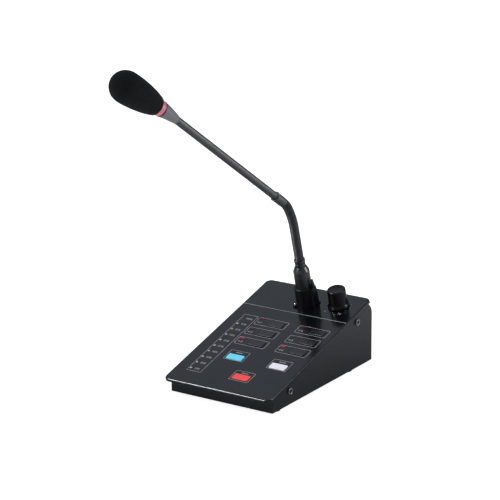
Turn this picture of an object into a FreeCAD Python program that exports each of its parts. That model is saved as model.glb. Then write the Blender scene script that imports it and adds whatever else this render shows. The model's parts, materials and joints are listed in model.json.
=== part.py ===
import FreeCAD, Part
import Sketcher
import math
import os

# Desktop paging microphone: a sloping console with keys, lamps, a level meter and a volume knob,
# and a gooseneck microphone that plugs into a socket on the slope.
# Lengths are millimetres, angles are degrees. +Z is up, +Y points to the rear, +X to the right.
# The origin lies on the table, under the middle of the base.

Vector = FreeCAD.Vector
Rotation = FreeCAD.Rotation
Placement = FreeCAD.Placement
X_AXIS = Vector(1, 0, 0)
Y_AXIS = Vector(0, 1, 0)
Z_AXIS = Vector(0, 0, 1)
ORIGIN = Vector(0, 0, 0)

doc = FreeCAD.newDocument("PagingMicrophone")
dims = doc.addObject("Spreadsheet::Sheet", "dims")
finished = []


class Size(float):
    """A value of the sheet, or a result worked out from several, with the words that give it."""

    def __new__(cls, value, words):
        made = float.__new__(cls, value)
        made.words = words
        return made

    def __add__(self, other):
        return Size(float(self) + float(other), f"({self.words} + {words_of(other)})")

    def __radd__(self, other):
        return Size(float(other) + float(self), f"({words_of(other)} + {self.words})")

    def __sub__(self, other):
        return Size(float(self) - float(other), f"({self.words} - {words_of(other)})")

    def __rsub__(self, other):
        return Size(float(other) - float(self), f"({words_of(other)} - {self.words})")

    def __mul__(self, other):
        return Size(float(self) * float(other), f"({self.words} * {words_of(other)})")

    def __rmul__(self, other):
        return Size(float(other) * float(self), f"({words_of(other)} * {self.words})")

    def __truediv__(self, other):
        return Size(float(self) / float(other), f"({self.words} / {words_of(other)})")

    def __neg__(self):
        return Size(-float(self), f"(0 - {self.words})")


def words_of(value):
    """The words of a size, or the digits of a plain number."""
    if isinstance(value, Size):
        return value.words
    return f"({float(value):.6f})"


def size(name, value):
    """Puts one driving dimension into the sheet under its own name."""
    row = len([cell for cell in dims.getUsedCells() if cell.startswith("A")]) + 1
    dims.set(f"A{row}", name)
    dims.set(f"B{row}", str(value))
    dims.setAlias(f"B{row}", name)
    return Size(value, f"dims.{name}")


def square_root(value):
    return Size(math.sqrt(value), f"sqrt({words_of(value)})")


# Cover plate: a pan of folded sheet
plate_sheet = size("plate_sheet", 1.5)
lip_depth = size("lip_depth", 3.4)
plate_corner = size("plate_corner", 4.5)
plate_bend = size("plate_bend", 1.6)
front_overhang = size("front_overhang", 11.7)
side_overhang = size("side_overhang", 3.4)
slope = size("slope", 15.33)
front_height = size("front_height", 21.2)

# Base box under the cover, whose shoulder sets how far back the cover reaches
base_width = size("base_width", 137.2)
base_depth = size("base_depth", 213.2)
base_sheet = size("base_sheet", 1.2)
base_bend = size("base_bend", 1.2)
riser_height = size("riser_height", 4.893)
shoulder_radius = size("shoulder_radius", 15.5)
shoulder_setback = size("shoulder_setback", 8.42)
seam_gap = size("seam_gap", 0.1)

# Feet
foot_radius = size("foot_radius", 6.5)
foot_height = size("foot_height", 3.2)
foot_across = size("foot_across", 118.0)
foot_front = size("foot_front", 18.5)
foot_spacing = size("foot_spacing", 153.0)

# Side screws and the brackets that they hold
screw_head_radius = size("screw_head_radius", 3.75)
screw_head_height = size("screw_head_height", 1.9)
screw_head_bevel = size("screw_head_bevel", 0.8)
screw_shank_radius = size("screw_shank_radius", 1.9)
screw_shank_length = size("screw_shank_length", 8.0)
screw_recess_radius = size("screw_recess_radius", 1.5)
screw_recess_depth = size("screw_recess_depth", 1.2)
screw_hole_gap = size("screw_hole_gap", 0.1)
screw_front = size("screw_front", 31.8)
screw_spacing = size("screw_spacing", 149.9)
screw_drop = size("screw_drop", 13.9)
bracket_sheet = size("bracket_sheet", 1.5)
bracket_leg = size("bracket_leg", 8.0)
bracket_height = size("bracket_height", 18.0)
bracket_width = size("bracket_width", 14.0)

# Keys
key_height = size("key_height", 1.0)
key_gap = size("key_gap", 0.3)
key_hidden = size("key_hidden", 1.8)
key_flange = size("key_flange", 1.0)
key_flange_lip = size("key_flange_lip", 0.9)
key_corner = size("key_corner", 0.9)
key_edge = size("key_edge", 0.3)
key_stem_side = size("key_stem_side", 3.0)
key_travel = size("key_travel", 0.5)
channel_key_width = size("channel_key_width", 19.4)
channel_key_depth = size("channel_key_depth", 9.5)
column_left = size("column_left", -6.3)
column_right = size("column_right", 49.4)
channel_row_low = size("channel_row_low", 84.7)
channel_row_pitch = size("channel_row_pitch", 21.34)
colour_key_width = size("colour_key_width", 20.2)
colour_key_depth = size("colour_key_depth", 9.6)
blue_key_x = size("blue_key_x", -14.75)
white_key_x = size("white_key_x", 43.7)
red_key_x = size("red_key_x", 14.7)
blue_key_up = size("blue_key_up", 52.3)
white_key_up = size("white_key_up", 51.9)
red_key_up = size("red_key_up", 19.2)

# Lamps
lamp_width = size("lamp_width", 5.0)
lamp_depth = size("lamp_depth", 2.4)
lamp_proud = size("lamp_proud", 0.4)
lamp_gap = size("lamp_gap", 0.15)
lamp_from_key_x = size("lamp_from_key_x", -22.8)
lamp_from_key_up = size("lamp_from_key_up", 5.6)
meter_lamp_radius = size("meter_lamp_radius", 1.5)
meter_lamp_proud = size("meter_lamp_proud", 0.8)
meter_x = size("meter_x", -52.5)
meter_low = size("meter_low", 17.5)
meter_pitch = size("meter_pitch", 12.26)
meter_count = 10

# Circuit board behind the cover
board_drop = size("board_drop", 9.0)
board_sheet = size("board_sheet", 1.6)
board_width = size("board_width", 116.0)
board_front = size("board_front", 8.0)
board_length = size("board_length", 136.0)
switch_side = size("switch_side", 9.0)
switch_height = size("switch_height", 4.6)
switch_clearance = size("switch_clearance", 0.1)
standoff_radius = size("standoff_radius", 2.5)
standoff_inset = size("standoff_inset", 4.0)
board_screw_radius = size("board_screw_radius", 2.3)
board_screw_height = size("board_screw_height", 1.6)

# Volume control
knob_inset = size("knob_inset", 28.8)
knob_up = size("knob_up", 187.0)
knob_skirt_radius = size("knob_skirt_radius", 12.9)
knob_skirt_height = size("knob_skirt_height", 6.6)
knob_skirt_rim = size("knob_skirt_rim", 1.0)
knob_base_radius = size("knob_base_radius", 10.9)
knob_top_radius = size("knob_top_radius", 10.3)
knob_height = size("knob_height", 22.5)
knob_bevel = size("knob_bevel", 1.1)
knob_rise = size("knob_rise", 0.6)
knob_hollow_radius = size("knob_hollow_radius", 8.4)
knob_hollow_height = size("knob_hollow_height", 5.2)
shaft_radius = size("shaft_radius", 3.0)
shaft_running_gap = size("shaft_running_gap", 0.05)
shaft_top = size("shaft_top", 17.0)
bushing_radius = size("bushing_radius", 4.6)
bushing_height = size("bushing_height", 4.8)
pot_radius = size("pot_radius", 8.2)
pot_depth = size("pot_depth", 9.5)
nut_radius = size("nut_radius", 6.2)
nut_height = size("nut_height", 2.4)
washer_radius = size("washer_radius", 7.2)
washer_sheet = size("washer_sheet", 0.7)
thread_gap = size("thread_gap", 0.05)

# Plug socket on the slope
socket_x = size("socket_x", 5.0)
socket_up = size("socket_up", 177.8)
flange_radius = size("flange_radius", 12.9)
flange_height = size("flange_height", 1.6)
ear_radius = size("ear_radius", 3.1)
ear_x = size("ear_x", 10.6)
ear_up = size("ear_up", 7.9)
barrel_foot_radius = size("barrel_foot_radius", 12.2)
barrel_top_radius = size("barrel_top_radius", 11.6)
barrel_height = size("barrel_height", 26.0)
barrel_edge = size("barrel_edge", 0.9)
barrel_below = size("barrel_below", 14.0)
barrel_rear_radius = size("barrel_rear_radius", 11.0)
bore_gap = size("bore_gap", 0.2)
bore_floor = size("bore_floor", 2.0)
latch_reach_foot = size("latch_reach_foot", 15.0)
latch_reach_mid = size("latch_reach_mid", 14.5)
latch_reach_top = size("latch_reach_top", 13.9)
latch_mid_height = size("latch_mid_height", 20.5)
latch_inner = size("latch_inner", 10.3)
latch_width = size("latch_width", 9.0)
latch_slot_width = size("latch_slot_width", 6.2)
latch_slot_depth = size("latch_slot_depth", 9.5)
tab_sheet = size("tab_sheet", 1.4)
tab_gap = size("tab_gap", 0.2)
tab_top = size("tab_top", 36.7)
tab_thumb_height = size("tab_thumb_height", 7.0)
tab_thumb_reach = size("tab_thumb_reach", 2.1)
tab_thumb_rise = size("tab_thumb_rise", 4.2)
tab_travel = size("tab_travel", 1.5)
insert_gap = size("insert_gap", 0.15)
insert_height = size("insert_height", 19.0)
flange_screw_radius = size("flange_screw_radius", 2.1)
flange_screw_height = size("flange_screw_height", 1.5)
flange_screw_bevel = size("flange_screw_bevel", 0.7)
flange_screw_shank = size("flange_screw_shank", 1.3)
flange_screw_length = size("flange_screw_length", 7.0)
flange_screw_pocket = size("flange_screw_pocket", 2.5)

# Plug of the microphone
plug_radius = size("plug_radius", 9.7)
plug_bottom = size("plug_bottom", 8.0)
plug_wall = size("plug_wall", 1.3)
plug_waist_radius = size("plug_waist_radius", 9.5)
plug_waist_low = size("plug_waist_low", 32.0)
plug_waist_step = size("plug_waist_step", 0.8)
plug_throat_radius = size("plug_throat_radius", 5.0)
plug_throat_drop = size("plug_throat_drop", 10.8)
plug_shoulder_low = size("plug_shoulder_low", 47.3)
plug_shoulder_top = size("plug_shoulder_top", 53.0)
plug_top_radius = size("plug_top_radius", 6.9)
plug_floor = size("plug_floor", 23.0)
pin_radius = size("pin_radius", 1.15)
pin_circle_radius = size("pin_circle_radius", 4.2)
pin_length = size("pin_length", 11.0)
pin_hole_gap = size("pin_hole_gap", 0.15)
pin_count = 3
bush_radius = size("bush_radius", 6.1)
bush_groove_radius = size("bush_groove_radius", 5.5)
bush_ring_radius = size("bush_ring_radius", 6.5)
bush_groove_low = size("bush_groove_low", 57.3)
bush_groove_top = size("bush_groove_top", 58.4)
neck_base = size("neck_base", 62.0)

# Gooseneck: a straight run, a wide bend and a tight bend, all in one upright plane
neck_yaw = size("neck_yaw", 22.0)
neck_straight = size("neck_straight", 41.4)
wide_bend_radius = size("wide_bend_radius", 99.0)
wide_bend_angle = size("wide_bend_angle", 16.65)
tight_bend_radius = size("tight_bend_radius", 26.0)
tight_bend_angle = size("tight_bend_angle", 20.4)
coil_crest_radius = size("coil_crest_radius", 5.0)
coil_root_radius = size("coil_root_radius", 4.62)
coil_bore_radius = size("coil_bore_radius", 2.3)
coil_spigot_radius = size("coil_spigot_radius", 3.4)
coil_spigot_length = size("coil_spigot_length", 5.0)
hinge_count = 6
ribs_between_hinges = 7

# Collar and upper tube
collar_length = size("collar_length", 16.7)
collar_grip = size("collar_grip", 2.5)
collar_foot_radius = size("collar_foot_radius", 5.4)
collar_radius = size("collar_radius", 5.75)
collar_taper_length = size("collar_taper_length", 3.5)
collar_rim_radius = size("collar_rim_radius", 6.15)
collar_rim_length = size("collar_rim_length", 1.3)
collar_rim_step = size("collar_rim_step", 0.4)
collar_recess_radius = size("collar_recess_radius", 5.1)
collar_recess_depth = size("collar_recess_depth", 1.6)
tube_radius = size("tube_radius", 4.6)
tube_wall = size("tube_wall", 0.8)
tube_visible = size("tube_visible", 176.4)
tube_in_collar = size("tube_in_collar", 12.0)
tube_in_head = size("tube_in_head", 6.0)
joint_gap = size("joint_gap", 0.05)

# Microphone head
cone_length = size("cone_length", 25.2)
cone_kink_at = size("cone_kink_at", 16.0)
head_droop = size("head_droop", 4.9)
cone_small_radius = size("cone_small_radius", 5.1)
cone_large_radius = size("cone_large_radius", 9.1)
ring_radius = size("ring_radius", 9.3)
ring_length = size("ring_length", 6.9)
ring_edge = size("ring_edge", 0.5)
ring_bore_radius = size("ring_bore_radius", 6.0)
cage_radius = size("cage_radius", 7.6)
cage_wall = size("cage_wall", 0.7)
cage_shoulder = size("cage_shoulder", 3.0)
cage_length = size("cage_length", 44.0)
cage_window_width = size("cage_window_width", 5.0)
cage_window_length = size("cage_window_length", 18.0)
cage_window_start = size("cage_window_start", 18.0)
cage_window_count = 3
capsule_radius = size("capsule_radius", 4.9)
capsule_length = size("capsule_length", 7.0)
capsule_proud = size("capsule_proud", 1.0)
holder_length = size("holder_length", 16.0)
foam_gap = size("foam_gap", 0.2)
foam_start_radius = size("foam_start_radius", 9.9)
foam_rim_radius = size("foam_rim_radius", 12.1)
foam_rim_height = size("foam_rim_height", 3.6)
foam_radius = size("foam_radius", 18.2)
foam_widest_at = size("foam_widest_at", 47.0)
foam_nose_extra = size("foam_nose_extra", 1.1)
foam_fullness = 0.8
foam_flank_steps = 3
foam_tip_steps = 5

# Rear sockets and their board
rear_board_width = size("rear_board_width", 88.0)
rear_board_depth = size("rear_board_depth", 34.0)
rear_board_height = size("rear_board_height", 14.0)
rear_board_gap = size("rear_board_gap", 0.6)
link_x = size("link_x", -30.0)
link_width = size("link_width", 16.0)
link_height = size("link_height", 13.4)
link_depth = size("link_depth", 18.0)
link_mouth_width = size("link_mouth_width", 11.9)
link_mouth_height = size("link_mouth_height", 6.8)
link_mouth_depth = size("link_mouth_depth", 13.0)
link_mouth_lift = size("link_mouth_lift", 4.4)
link_notch_width = size("link_notch_width", 6.0)
link_notch_height = size("link_notch_height", 1.6)
power_x = size("power_x", 30.0)
power_width = size("power_width", 9.0)
power_height = size("power_height", 11.0)
power_depth = size("power_depth", 14.0)
power_bore_radius = size("power_bore_radius", 3.2)
power_pin_radius = size("power_pin_radius", 1.05)
power_lift = size("power_lift", 6.5)
power_back_wall = size("power_back_wall", 4.0)
power_window_radius = size("power_window_radius", 4.2)
socket_window_gap = size("socket_window_gap", 0.3)

cos_slope = Size(math.cos(math.radians(slope)), "cos(dims.slope * 1 deg)")
tan_slope = Size(math.tan(math.radians(slope)), "tan(dims.slope * 1 deg)")
plate_width = base_width + 2 * side_overhang
knob_x = plate_width / 2 - knob_inset
riser = base_depth - shoulder_setback
plate_length = front_overhang + (riser + plate_sheet + 2 * seam_gap) / cos_slope


# Working frames
FRONT = -float(base_depth) / 2
floor_of_base = Placement(Vector(0, FRONT, foot_height), Rotation())
panel = Placement(Vector(0, FRONT, foot_height + front_height), Rotation(X_AXIS, slope))
seat = panel.multiply(Placement(Vector(socket_x, socket_up, 0), Rotation()))
neck = seat.multiply(Placement(ORIGIN, Rotation(Z_AXIS, -(90.0 + neck_yaw))))


def in_panel(x, up, out=0.0):
    """Frame on the cover's top surface, x to the right and up the slope."""
    return panel.multiply(Placement(Vector(x, up, out), Rotation()))


def bent(frame, length, radius, angle):
    """Frame after a bend towards the front by an angle, or the part of it that a length covers."""
    turned_by = min(float(angle), math.degrees(length / radius))
    across = radius * (1 - math.cos(math.radians(turned_by)))
    onward = radius * math.sin(math.radians(turned_by))
    return frame.multiply(Placement(Vector(across, 0, onward), Rotation(Y_AXIS, turned_by)))


wide_bend_length = math.radians(wide_bend_angle) * wide_bend_radius
tight_bend_length = math.radians(tight_bend_angle) * tight_bend_radius
flexible_length = float(neck_straight + wide_bend_length + tight_bend_length)


def along(distance):
    """Frame on the microphone's centre line, a distance beyond the top of the plug's bush."""
    run = min(distance, float(neck_straight))
    frame = neck.multiply(Placement(Vector(0, 0, neck_base + run), Rotation()))
    left = distance - run
    if left <= 0:
        return frame
    frame = bent(frame, min(left, wide_bend_length), wide_bend_radius, wide_bend_angle)
    left -= wide_bend_length
    if left <= 0:
        return frame
    frame = bent(frame, min(left, tight_bend_length), tight_bend_radius, tight_bend_angle)
    left -= tight_bend_length
    if left <= 0:
        return frame
    return frame.multiply(Placement(Vector(0, 0, left), Rotation()))


# Ways of making a solid
def bind(thing, prop, value):
    """Sets a property, and ties it to the sheet where the value comes from it."""
    setattr(thing, prop, float(value))
    if isinstance(value, Size):
        thing.setExpression(prop, value.words)


def new_body(label, place):
    body = doc.addObject("PartDesign::Body", label)
    body.Label = label
    body.Placement = place
    finished.append(body)
    return body


def new_shape(label, shape, place):
    """A sub-part whose form no sketch gives, such as a run of ribs along a bend."""
    made = doc.addObject("Part::Feature", label)
    made.Label = label
    made.Shape = shape
    made.Placement = place
    finished.append(made)
    return made


def sketch_on(body, role, name, offset=None):
    """A sketch on one of the body's own origin planes, or a distance in front of it."""
    plane = next(item for item in body.Origin.OriginFeatures if item.Role == role)
    sketch = body.newObject("Sketcher::SketchObject", f"{body.Name}_{name}")
    sketch.AttachmentSupport = [(plane, "")]
    sketch.MapMode = "FlatFace"
    if offset is not None:
        sketch.AttachmentOffset = Placement(Vector(0, 0, offset), Rotation())
        if isinstance(offset, Size):
            sketch.setExpression("AttachmentOffset.Base.z", offset.words)
    return sketch


def add_rules(sketch, rules):
    """Adds constraints together, each a constraint with the size that drives it, or None."""
    first = sketch.ConstraintCount
    sketch.addConstraint([rule for rule, _ in rules])
    for place, (_, value) in enumerate(rules):
        if isinstance(value, Size):
            sketch.setExpression(f"Constraints[{first + place}]", value.words)


def pin_rules(edge, point, x, y):
    """Holds a point by its two distances to the sketch's origin."""
    return [
        (Sketcher.Constraint("DistanceX", -1, 1, edge, point, float(x)), x),
        (Sketcher.Constraint("DistanceY", -1, 1, edge, point, float(y)), y),
    ]


def arc_to_the_left(start, end, radius):
    chord = end.sub(start)
    half = chord.Length / 2
    left = Vector(-chord.y, chord.x, 0).normalize()
    centre = start.add(end).multiply(0.5).add(left * math.sqrt(radius * radius - half * half))
    first = math.atan2(start.y - centre.y, start.x - centre.x)
    last = math.atan2(end.y - centre.y, end.x - centre.x)
    return Part.ArcOfCircle(Part.Circle(centre, Z_AXIS, radius), first, last)


def outline(sketch, corners):
    """Closed run of edges. A corner's third value starts an arc of that radius, minus to the right."""
    first = sketch.GeometryCount
    edges = []
    ends = []
    for number, corner in enumerate(corners):
        following = corners[(number + 1) % len(corners)]
        start = Vector(corner[0], corner[1], 0)
        end = Vector(following[0], following[1], 0)
        if len(corner) == 2:
            edges.append(Part.LineSegment(start, end))
            ends.append((1, 2))
        elif corner[2] > 0:
            edges.append(arc_to_the_left(start, end, float(corner[2])))
            ends.append((1, 2))
        else:
            edges.append(arc_to_the_left(end, start, -float(corner[2])))
            ends.append((2, 1))
    rules = []
    for number, corner in enumerate(corners):
        edge = first + number
        after = (number + 1) % len(corners)
        begins, stops = ends[number]
        rules += pin_rules(edge, begins, corner[0], corner[1])
        meeting = Sketcher.Constraint("Coincident", edge, stops, first + after, ends[after][0])
        rules.append((meeting, None))
        if len(corner) == 3:
            radius = corner[2] if corner[2] > 0 else -corner[2]
            rules.append((Sketcher.Constraint("Radius", edge, float(radius)), radius))
    sketch.addGeometry(edges, False)
    add_rules(sketch, rules)


def rectangle(sketch, x, y, width, depth):
    """Rectangle about a centre."""
    outline(sketch, [
        (x - width / 2, y - depth / 2),
        (x + width / 2, y - depth / 2),
        (x + width / 2, y + depth / 2),
        (x - width / 2, y + depth / 2),
    ])


def hexagon(sketch, x, y, radius):
    """Hexagon about a centre, by the distance to its corners."""
    outline(sketch, [(x + radius * math.cos(math.radians(60 * number)),
                      y + radius * math.sin(math.radians(60 * number))) for number in range(6)])


def rounded_box(sketch, left, low, right, high, radius):
    """Rectangle with round corners."""
    outline(sketch, [
        (left + radius, low),
        (right - radius, low, radius),
        (right, low + radius),
        (right, high - radius, radius),
        (right - radius, high),
        (left + radius, high, radius),
        (left, high - radius),
        (left, low + radius, radius),
    ])


def circle(sketch, x, y, radius):
    edge = sketch.addGeometry(Part.Circle(Vector(x, y, 0), Z_AXIS, float(radius)), False)
    rules = pin_rules(edge, 3, x, y)
    rules.append((Sketcher.Constraint("Radius", edge, float(radius)), radius))
    add_rules(sketch, rules)


def grow(kind, body, sketch, length, name, reverse=False, both=False):
    """Pads or pockets a sketch by a length."""
    feature = body.newObject(f"PartDesign::{kind}", f"{body.Name}_{name}")
    feature.Profile = sketch
    bind(feature, "Length", length)
    feature.Reversed = reverse
    feature.Midplane = both
    return feature


def pad(*args, **kwargs):
    return grow("Pad", *args, **kwargs)


def pocket(*args, **kwargs):
    return grow("Pocket", *args, **kwargs)


def spin(body, corners, kind="Revolution", name="turned"):
    """Turns an outline, radius by height, about the body's own Z axis."""
    sketch = sketch_on(body, "XZ_Plane", f"{name}_profile")
    outline(sketch, corners)
    feature = body.newObject(f"PartDesign::{kind}", f"{body.Name}_{name}")
    feature.Profile = sketch
    feature.ReferenceAxis = (sketch, ["V_Axis"])
    feature.Angle = 360.0
    return feature


def turned(label, corners, place):
    """A piece made on a lathe."""
    body = new_body(label, place)
    spin(body, corners)
    return body


def soften(kind, body, base, amount, name, wanted):
    """Fillets or chamfers the edges that a test picks."""
    doc.recompute()
    picked = [f"Edge{number + 1}" for number, edge in enumerate(base.Shape.Edges) if wanted(edge)]
    feature = body.newObject(f"PartDesign::{kind}", f"{body.Name}_{name}")
    feature.Base = (base, picked)
    bind(feature, "Radius" if kind == "Fillet" else "Size", amount)
    return feature


def upright(edge):
    """True for an edge that runs along Z."""
    low, high = edge.Vertexes[0].Point, edge.Vertexes[-1].Point
    return edge.Length > 0.01 and abs(abs(high.z - low.z) - edge.Length) < 1e-6


def at_height(height):
    """Test for an edge that lies flat at a height."""
    def wanted(edge):
        box = edge.BoundBox
        return abs(box.ZMin - height) < 1e-4 and abs(box.ZMax - height) < 1e-4
    return wanted


def channel_keys():
    """Label, x and height up the slope of the six channel keys."""
    for column, x in enumerate((column_left, column_right)):
        for row in range(3):
            yield f"channel_key_{3 * column + row + 1}", x, channel_row_low + (2 - row) * channel_row_pitch


def colour_keys():
    """Label, x and height up the slope of the three coloured keys."""
    yield "blue_key", blue_key_x, blue_key_up
    yield "white_key", white_key_x, white_key_up
    yield "red_key", red_key_x, red_key_up


def board_fixings():
    """Places of the standoffs, at the board's corners."""
    for side in (-1, 1):
        x = side * (board_width / 2 - standoff_inset)
        yield x, board_front + standoff_inset
        yield x, board_front + board_length - standoff_inset


# Casing
def make_top_plate():
    body = new_body("top_plate", panel)
    low = -front_overhang
    high = plate_length - front_overhang
    blank = sketch_on(body, "XY_Plane", "blank")
    rounded_box(blank, -plate_width / 2, low, plate_width / 2, high, plate_corner)
    slab = pad(body, blank, lip_depth, "slab", reverse=True)
    soften("Fillet", body, slab, plate_bend, "bends", at_height(0.0))
    inside = sketch_on(body, "XY_Plane", "inside", -lip_depth)
    rounded_box(inside, -plate_width / 2 + plate_sheet, low + plate_sheet,
                plate_width / 2 - plate_sheet, high - plate_sheet, plate_corner - plate_sheet)
    pocket(body, inside, lip_depth - plate_sheet, "hollow", reverse=True)

    key_windows = sketch_on(body, "XY_Plane", "key_windows")
    for _, x, up in channel_keys():
        rectangle(key_windows, x, up, channel_key_width + 2 * key_gap, channel_key_depth + 2 * key_gap)
    for _, x, up in colour_keys():
        rectangle(key_windows, x, up, colour_key_width + 2 * key_gap, colour_key_depth + 2 * key_gap)
    pocket(body, key_windows, 2 * plate_sheet, "key_holes")

    lamp_windows = sketch_on(body, "XY_Plane", "lamp_windows")
    for _, x, up in channel_keys():
        rectangle(lamp_windows, x + lamp_from_key_x, up + lamp_from_key_up,
                  lamp_width + 2 * lamp_gap, lamp_depth + 2 * lamp_gap)
    pocket(body, lamp_windows, 2 * plate_sheet, "lamp_holes")

    first_hole = sketch_on(body, "XY_Plane", "meter_hole")
    circle(first_hole, meter_x, meter_low, meter_lamp_radius + lamp_gap)
    hole = pocket(body, first_hole, 2 * plate_sheet, "meter_hole_cut")
    doc.recompute()
    row = body.newObject("PartDesign::LinearPattern", "top_plate_meter_row")
    row.Originals = [hole]
    row.Direction = (first_hole, ["V_Axis"])
    bind(row, "Length", meter_pitch * (meter_count - 1))
    row.Occurrences = meter_count
    body.Tip = row

    fittings = sketch_on(body, "XY_Plane", "fitting_holes")
    circle(fittings, socket_x, socket_up, barrel_rear_radius + seam_gap)
    ear_hole = flange_screw_shank + screw_hole_gap
    for side in (-1, 1):
        circle(fittings, socket_x + side * ear_x, socket_up + side * ear_up, ear_hole)
    circle(fittings, knob_x, knob_up, bushing_radius + thread_gap)
    pocket(body, fittings, 2 * plate_sheet, "fitting_cuts")


def under_cover(y):
    """Height of the cover's underside over the base's underside, at a distance behind the front wall."""
    return front_height - plate_sheet / cos_slope + y * tan_slope - seam_gap


shoulder_sag = shoulder_radius - shoulder_setback
shoulder_rise = square_root(shoulder_radius * shoulder_radius - shoulder_sag * shoulder_sag)
shoulder_start = under_cover(riser) - riser_height - shoulder_rise


def make_base_tray():
    body = new_body("base_tray", floor_of_base)
    side = sketch_on(body, "YZ_Plane", "side")
    outline(side, [
        (0.0, 0.0),
        (base_depth, 0.0),
        (base_depth, shoulder_start, shoulder_radius),
        (riser, shoulder_start + shoulder_rise),
        (riser, under_cover(riser)),
        (0.0, under_cover(0.0)),
    ])
    block = pad(body, side, base_width, "block", both=True)
    soften("Fillet", body, block, base_bend, "corner_bends",
           lambda edge: upright(edge) and edge.Vertexes[0].Point.y < 1e-3)
    room = sketch_on(body, "YZ_Plane", "room")
    outline(room, [
        (base_sheet, base_sheet),
        (base_depth + base_sheet, base_sheet),
        (base_depth + base_sheet, base_depth),
        (base_sheet, base_depth),
    ])
    pocket(body, room, base_width - 2 * base_sheet, "room_cut", both=True)

    holes = sketch_on(body, "YZ_Plane", "screw_holes")
    for up in (screw_front, screw_front + screw_spacing):
        y, z = screw_place(up)
        circle(holes, y, z, screw_shank_radius + screw_hole_gap)
    pocket(body, holes, base_width + base_sheet, "screw_cuts", both=True)


def screw_place(up):
    """Depth behind the front wall and height over the base's underside of a side screw."""
    sine = math.sin(math.radians(slope))
    y = up * cos_slope + screw_drop * sine
    z = front_height + up * sine - screw_drop * cos_slope
    return y, z


def make_rear_panel():
    """The rear wall, with the rounded shoulder that runs in under the cover."""
    body = new_body("rear_panel", floor_of_base)
    inner_radius = shoulder_radius - base_sheet
    inner_sag = shoulder_sag - base_sheet
    inner_rise = square_root(inner_radius * inner_radius - inner_sag * inner_sag)
    band = sketch_on(body, "YZ_Plane", "band")
    outline(band, [
        (base_depth - base_sheet, base_sheet + seam_gap),
        (base_depth, base_sheet + seam_gap),
        (base_depth, shoulder_start, shoulder_radius),
        (riser, shoulder_start + shoulder_rise),
        (riser, under_cover(riser)),
        (riser - base_sheet, under_cover(riser - base_sheet)),
        (riser - base_sheet, shoulder_start + inner_rise, -inner_radius),
        (base_depth - base_sheet, shoulder_start),
    ])
    pad(body, band, base_width - 2 * base_sheet - 2 * seam_gap, "wall", both=True)
    windows = sketch_on(body, "XZ_Plane", "windows")
    board_top = rear_board_height + board_sheet
    rectangle(windows, link_x, board_top + link_height / 2,
              link_width + 2 * socket_window_gap, link_height + 2 * socket_window_gap)
    circle(windows, power_x, board_top + power_lift, power_window_radius)
    pocket(body, windows, base_depth + base_sheet, "window_cuts")


def make_feet():
    body = new_body("rubber_feet", Placement(Vector(0, FRONT, foot_height), Rotation()))
    rounds = sketch_on(body, "XY_Plane", "rounds")
    for side in (-1, 1):
        for y in (foot_front, foot_front + foot_spacing):
            circle(rounds, side * foot_across / 2, y, foot_radius)
    pad(body, rounds, foot_height, "feet", reverse=True)


def make_side_screws():
    body = new_body("side_screws", floor_of_base)
    heads = sketch_on(body, "YZ_Plane", "heads", base_width / 2 + seam_gap)
    recess = []
    for up in (screw_front, screw_front + screw_spacing):
        y, z = screw_place(up)
        circle(heads, y, z, screw_head_radius)
        recess.append((y, z))
    head = pad(body, heads, screw_head_height, "head")
    outer = base_width / 2 + seam_gap + screw_head_height
    soften("Chamfer", body, head, screw_head_bevel, "head_edges",
           lambda edge: abs(edge.BoundBox.XMin - outer) < 1e-4)
    shanks = sketch_on(body, "YZ_Plane", "shanks", base_width / 2 + seam_gap)
    for y, z in recess:
        circle(shanks, y, z, screw_shank_radius)
    pad(body, shanks, screw_shank_length, "shank", reverse=True)
    drives = sketch_on(body, "YZ_Plane", "drives", outer)
    for y, z in recess:
        hexagon(drives, y, z, screw_recess_radius)
    pocket(body, drives, screw_recess_depth, "drive")
    mirror_all(body, "YZ_Plane")


def mirror_all(body, role):
    """Repeats everything so far on the other side of one of the body's origin planes."""
    doc.recompute()
    mirror = body.newObject("PartDesign::Mirrored", f"{body.Name}_other_side")
    mirror.TransformMode = "Whole shape"
    mirror.MirrorPlane = (next(item for item in body.Origin.OriginFeatures if item.Role == role), [""])
    body.Tip = mirror


def make_cover_brackets():
    """Angle brackets under the cover that the side screws pull against."""
    body = new_body("cover_brackets", panel)
    wall = base_width / 2 - base_sheet - seam_gap
    angle = sketch_on(body, "XZ_Plane", "angle", -(screw_front + bracket_width / 2))
    under = -plate_sheet
    outline(angle, [
        (wall - bracket_leg, under),
        (wall - bracket_leg, under - bracket_sheet),
        (wall - bracket_sheet, under - bracket_sheet),
        (wall - bracket_sheet, under - bracket_height),
        (wall, under - bracket_height),
        (wall, under),
    ])
    pad(body, angle, bracket_width, "angle_pad")
    hole = sketch_on(body, "YZ_Plane", "hole")
    circle(hole, screw_front, -screw_drop, screw_shank_radius + screw_hole_gap)
    pocket(body, hole, base_width, "hole_cut", reverse=True)
    doc.recompute()
    row = body.newObject("PartDesign::LinearPattern", "cover_brackets_row")
    row.TransformMode = "Whole shape"
    row.Direction = (hole, ["H_Axis"])
    bind(row, "Length", screw_spacing)
    row.Occurrences = 2
    body.Tip = row
    mirror_all(body, "YZ_Plane")


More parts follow.
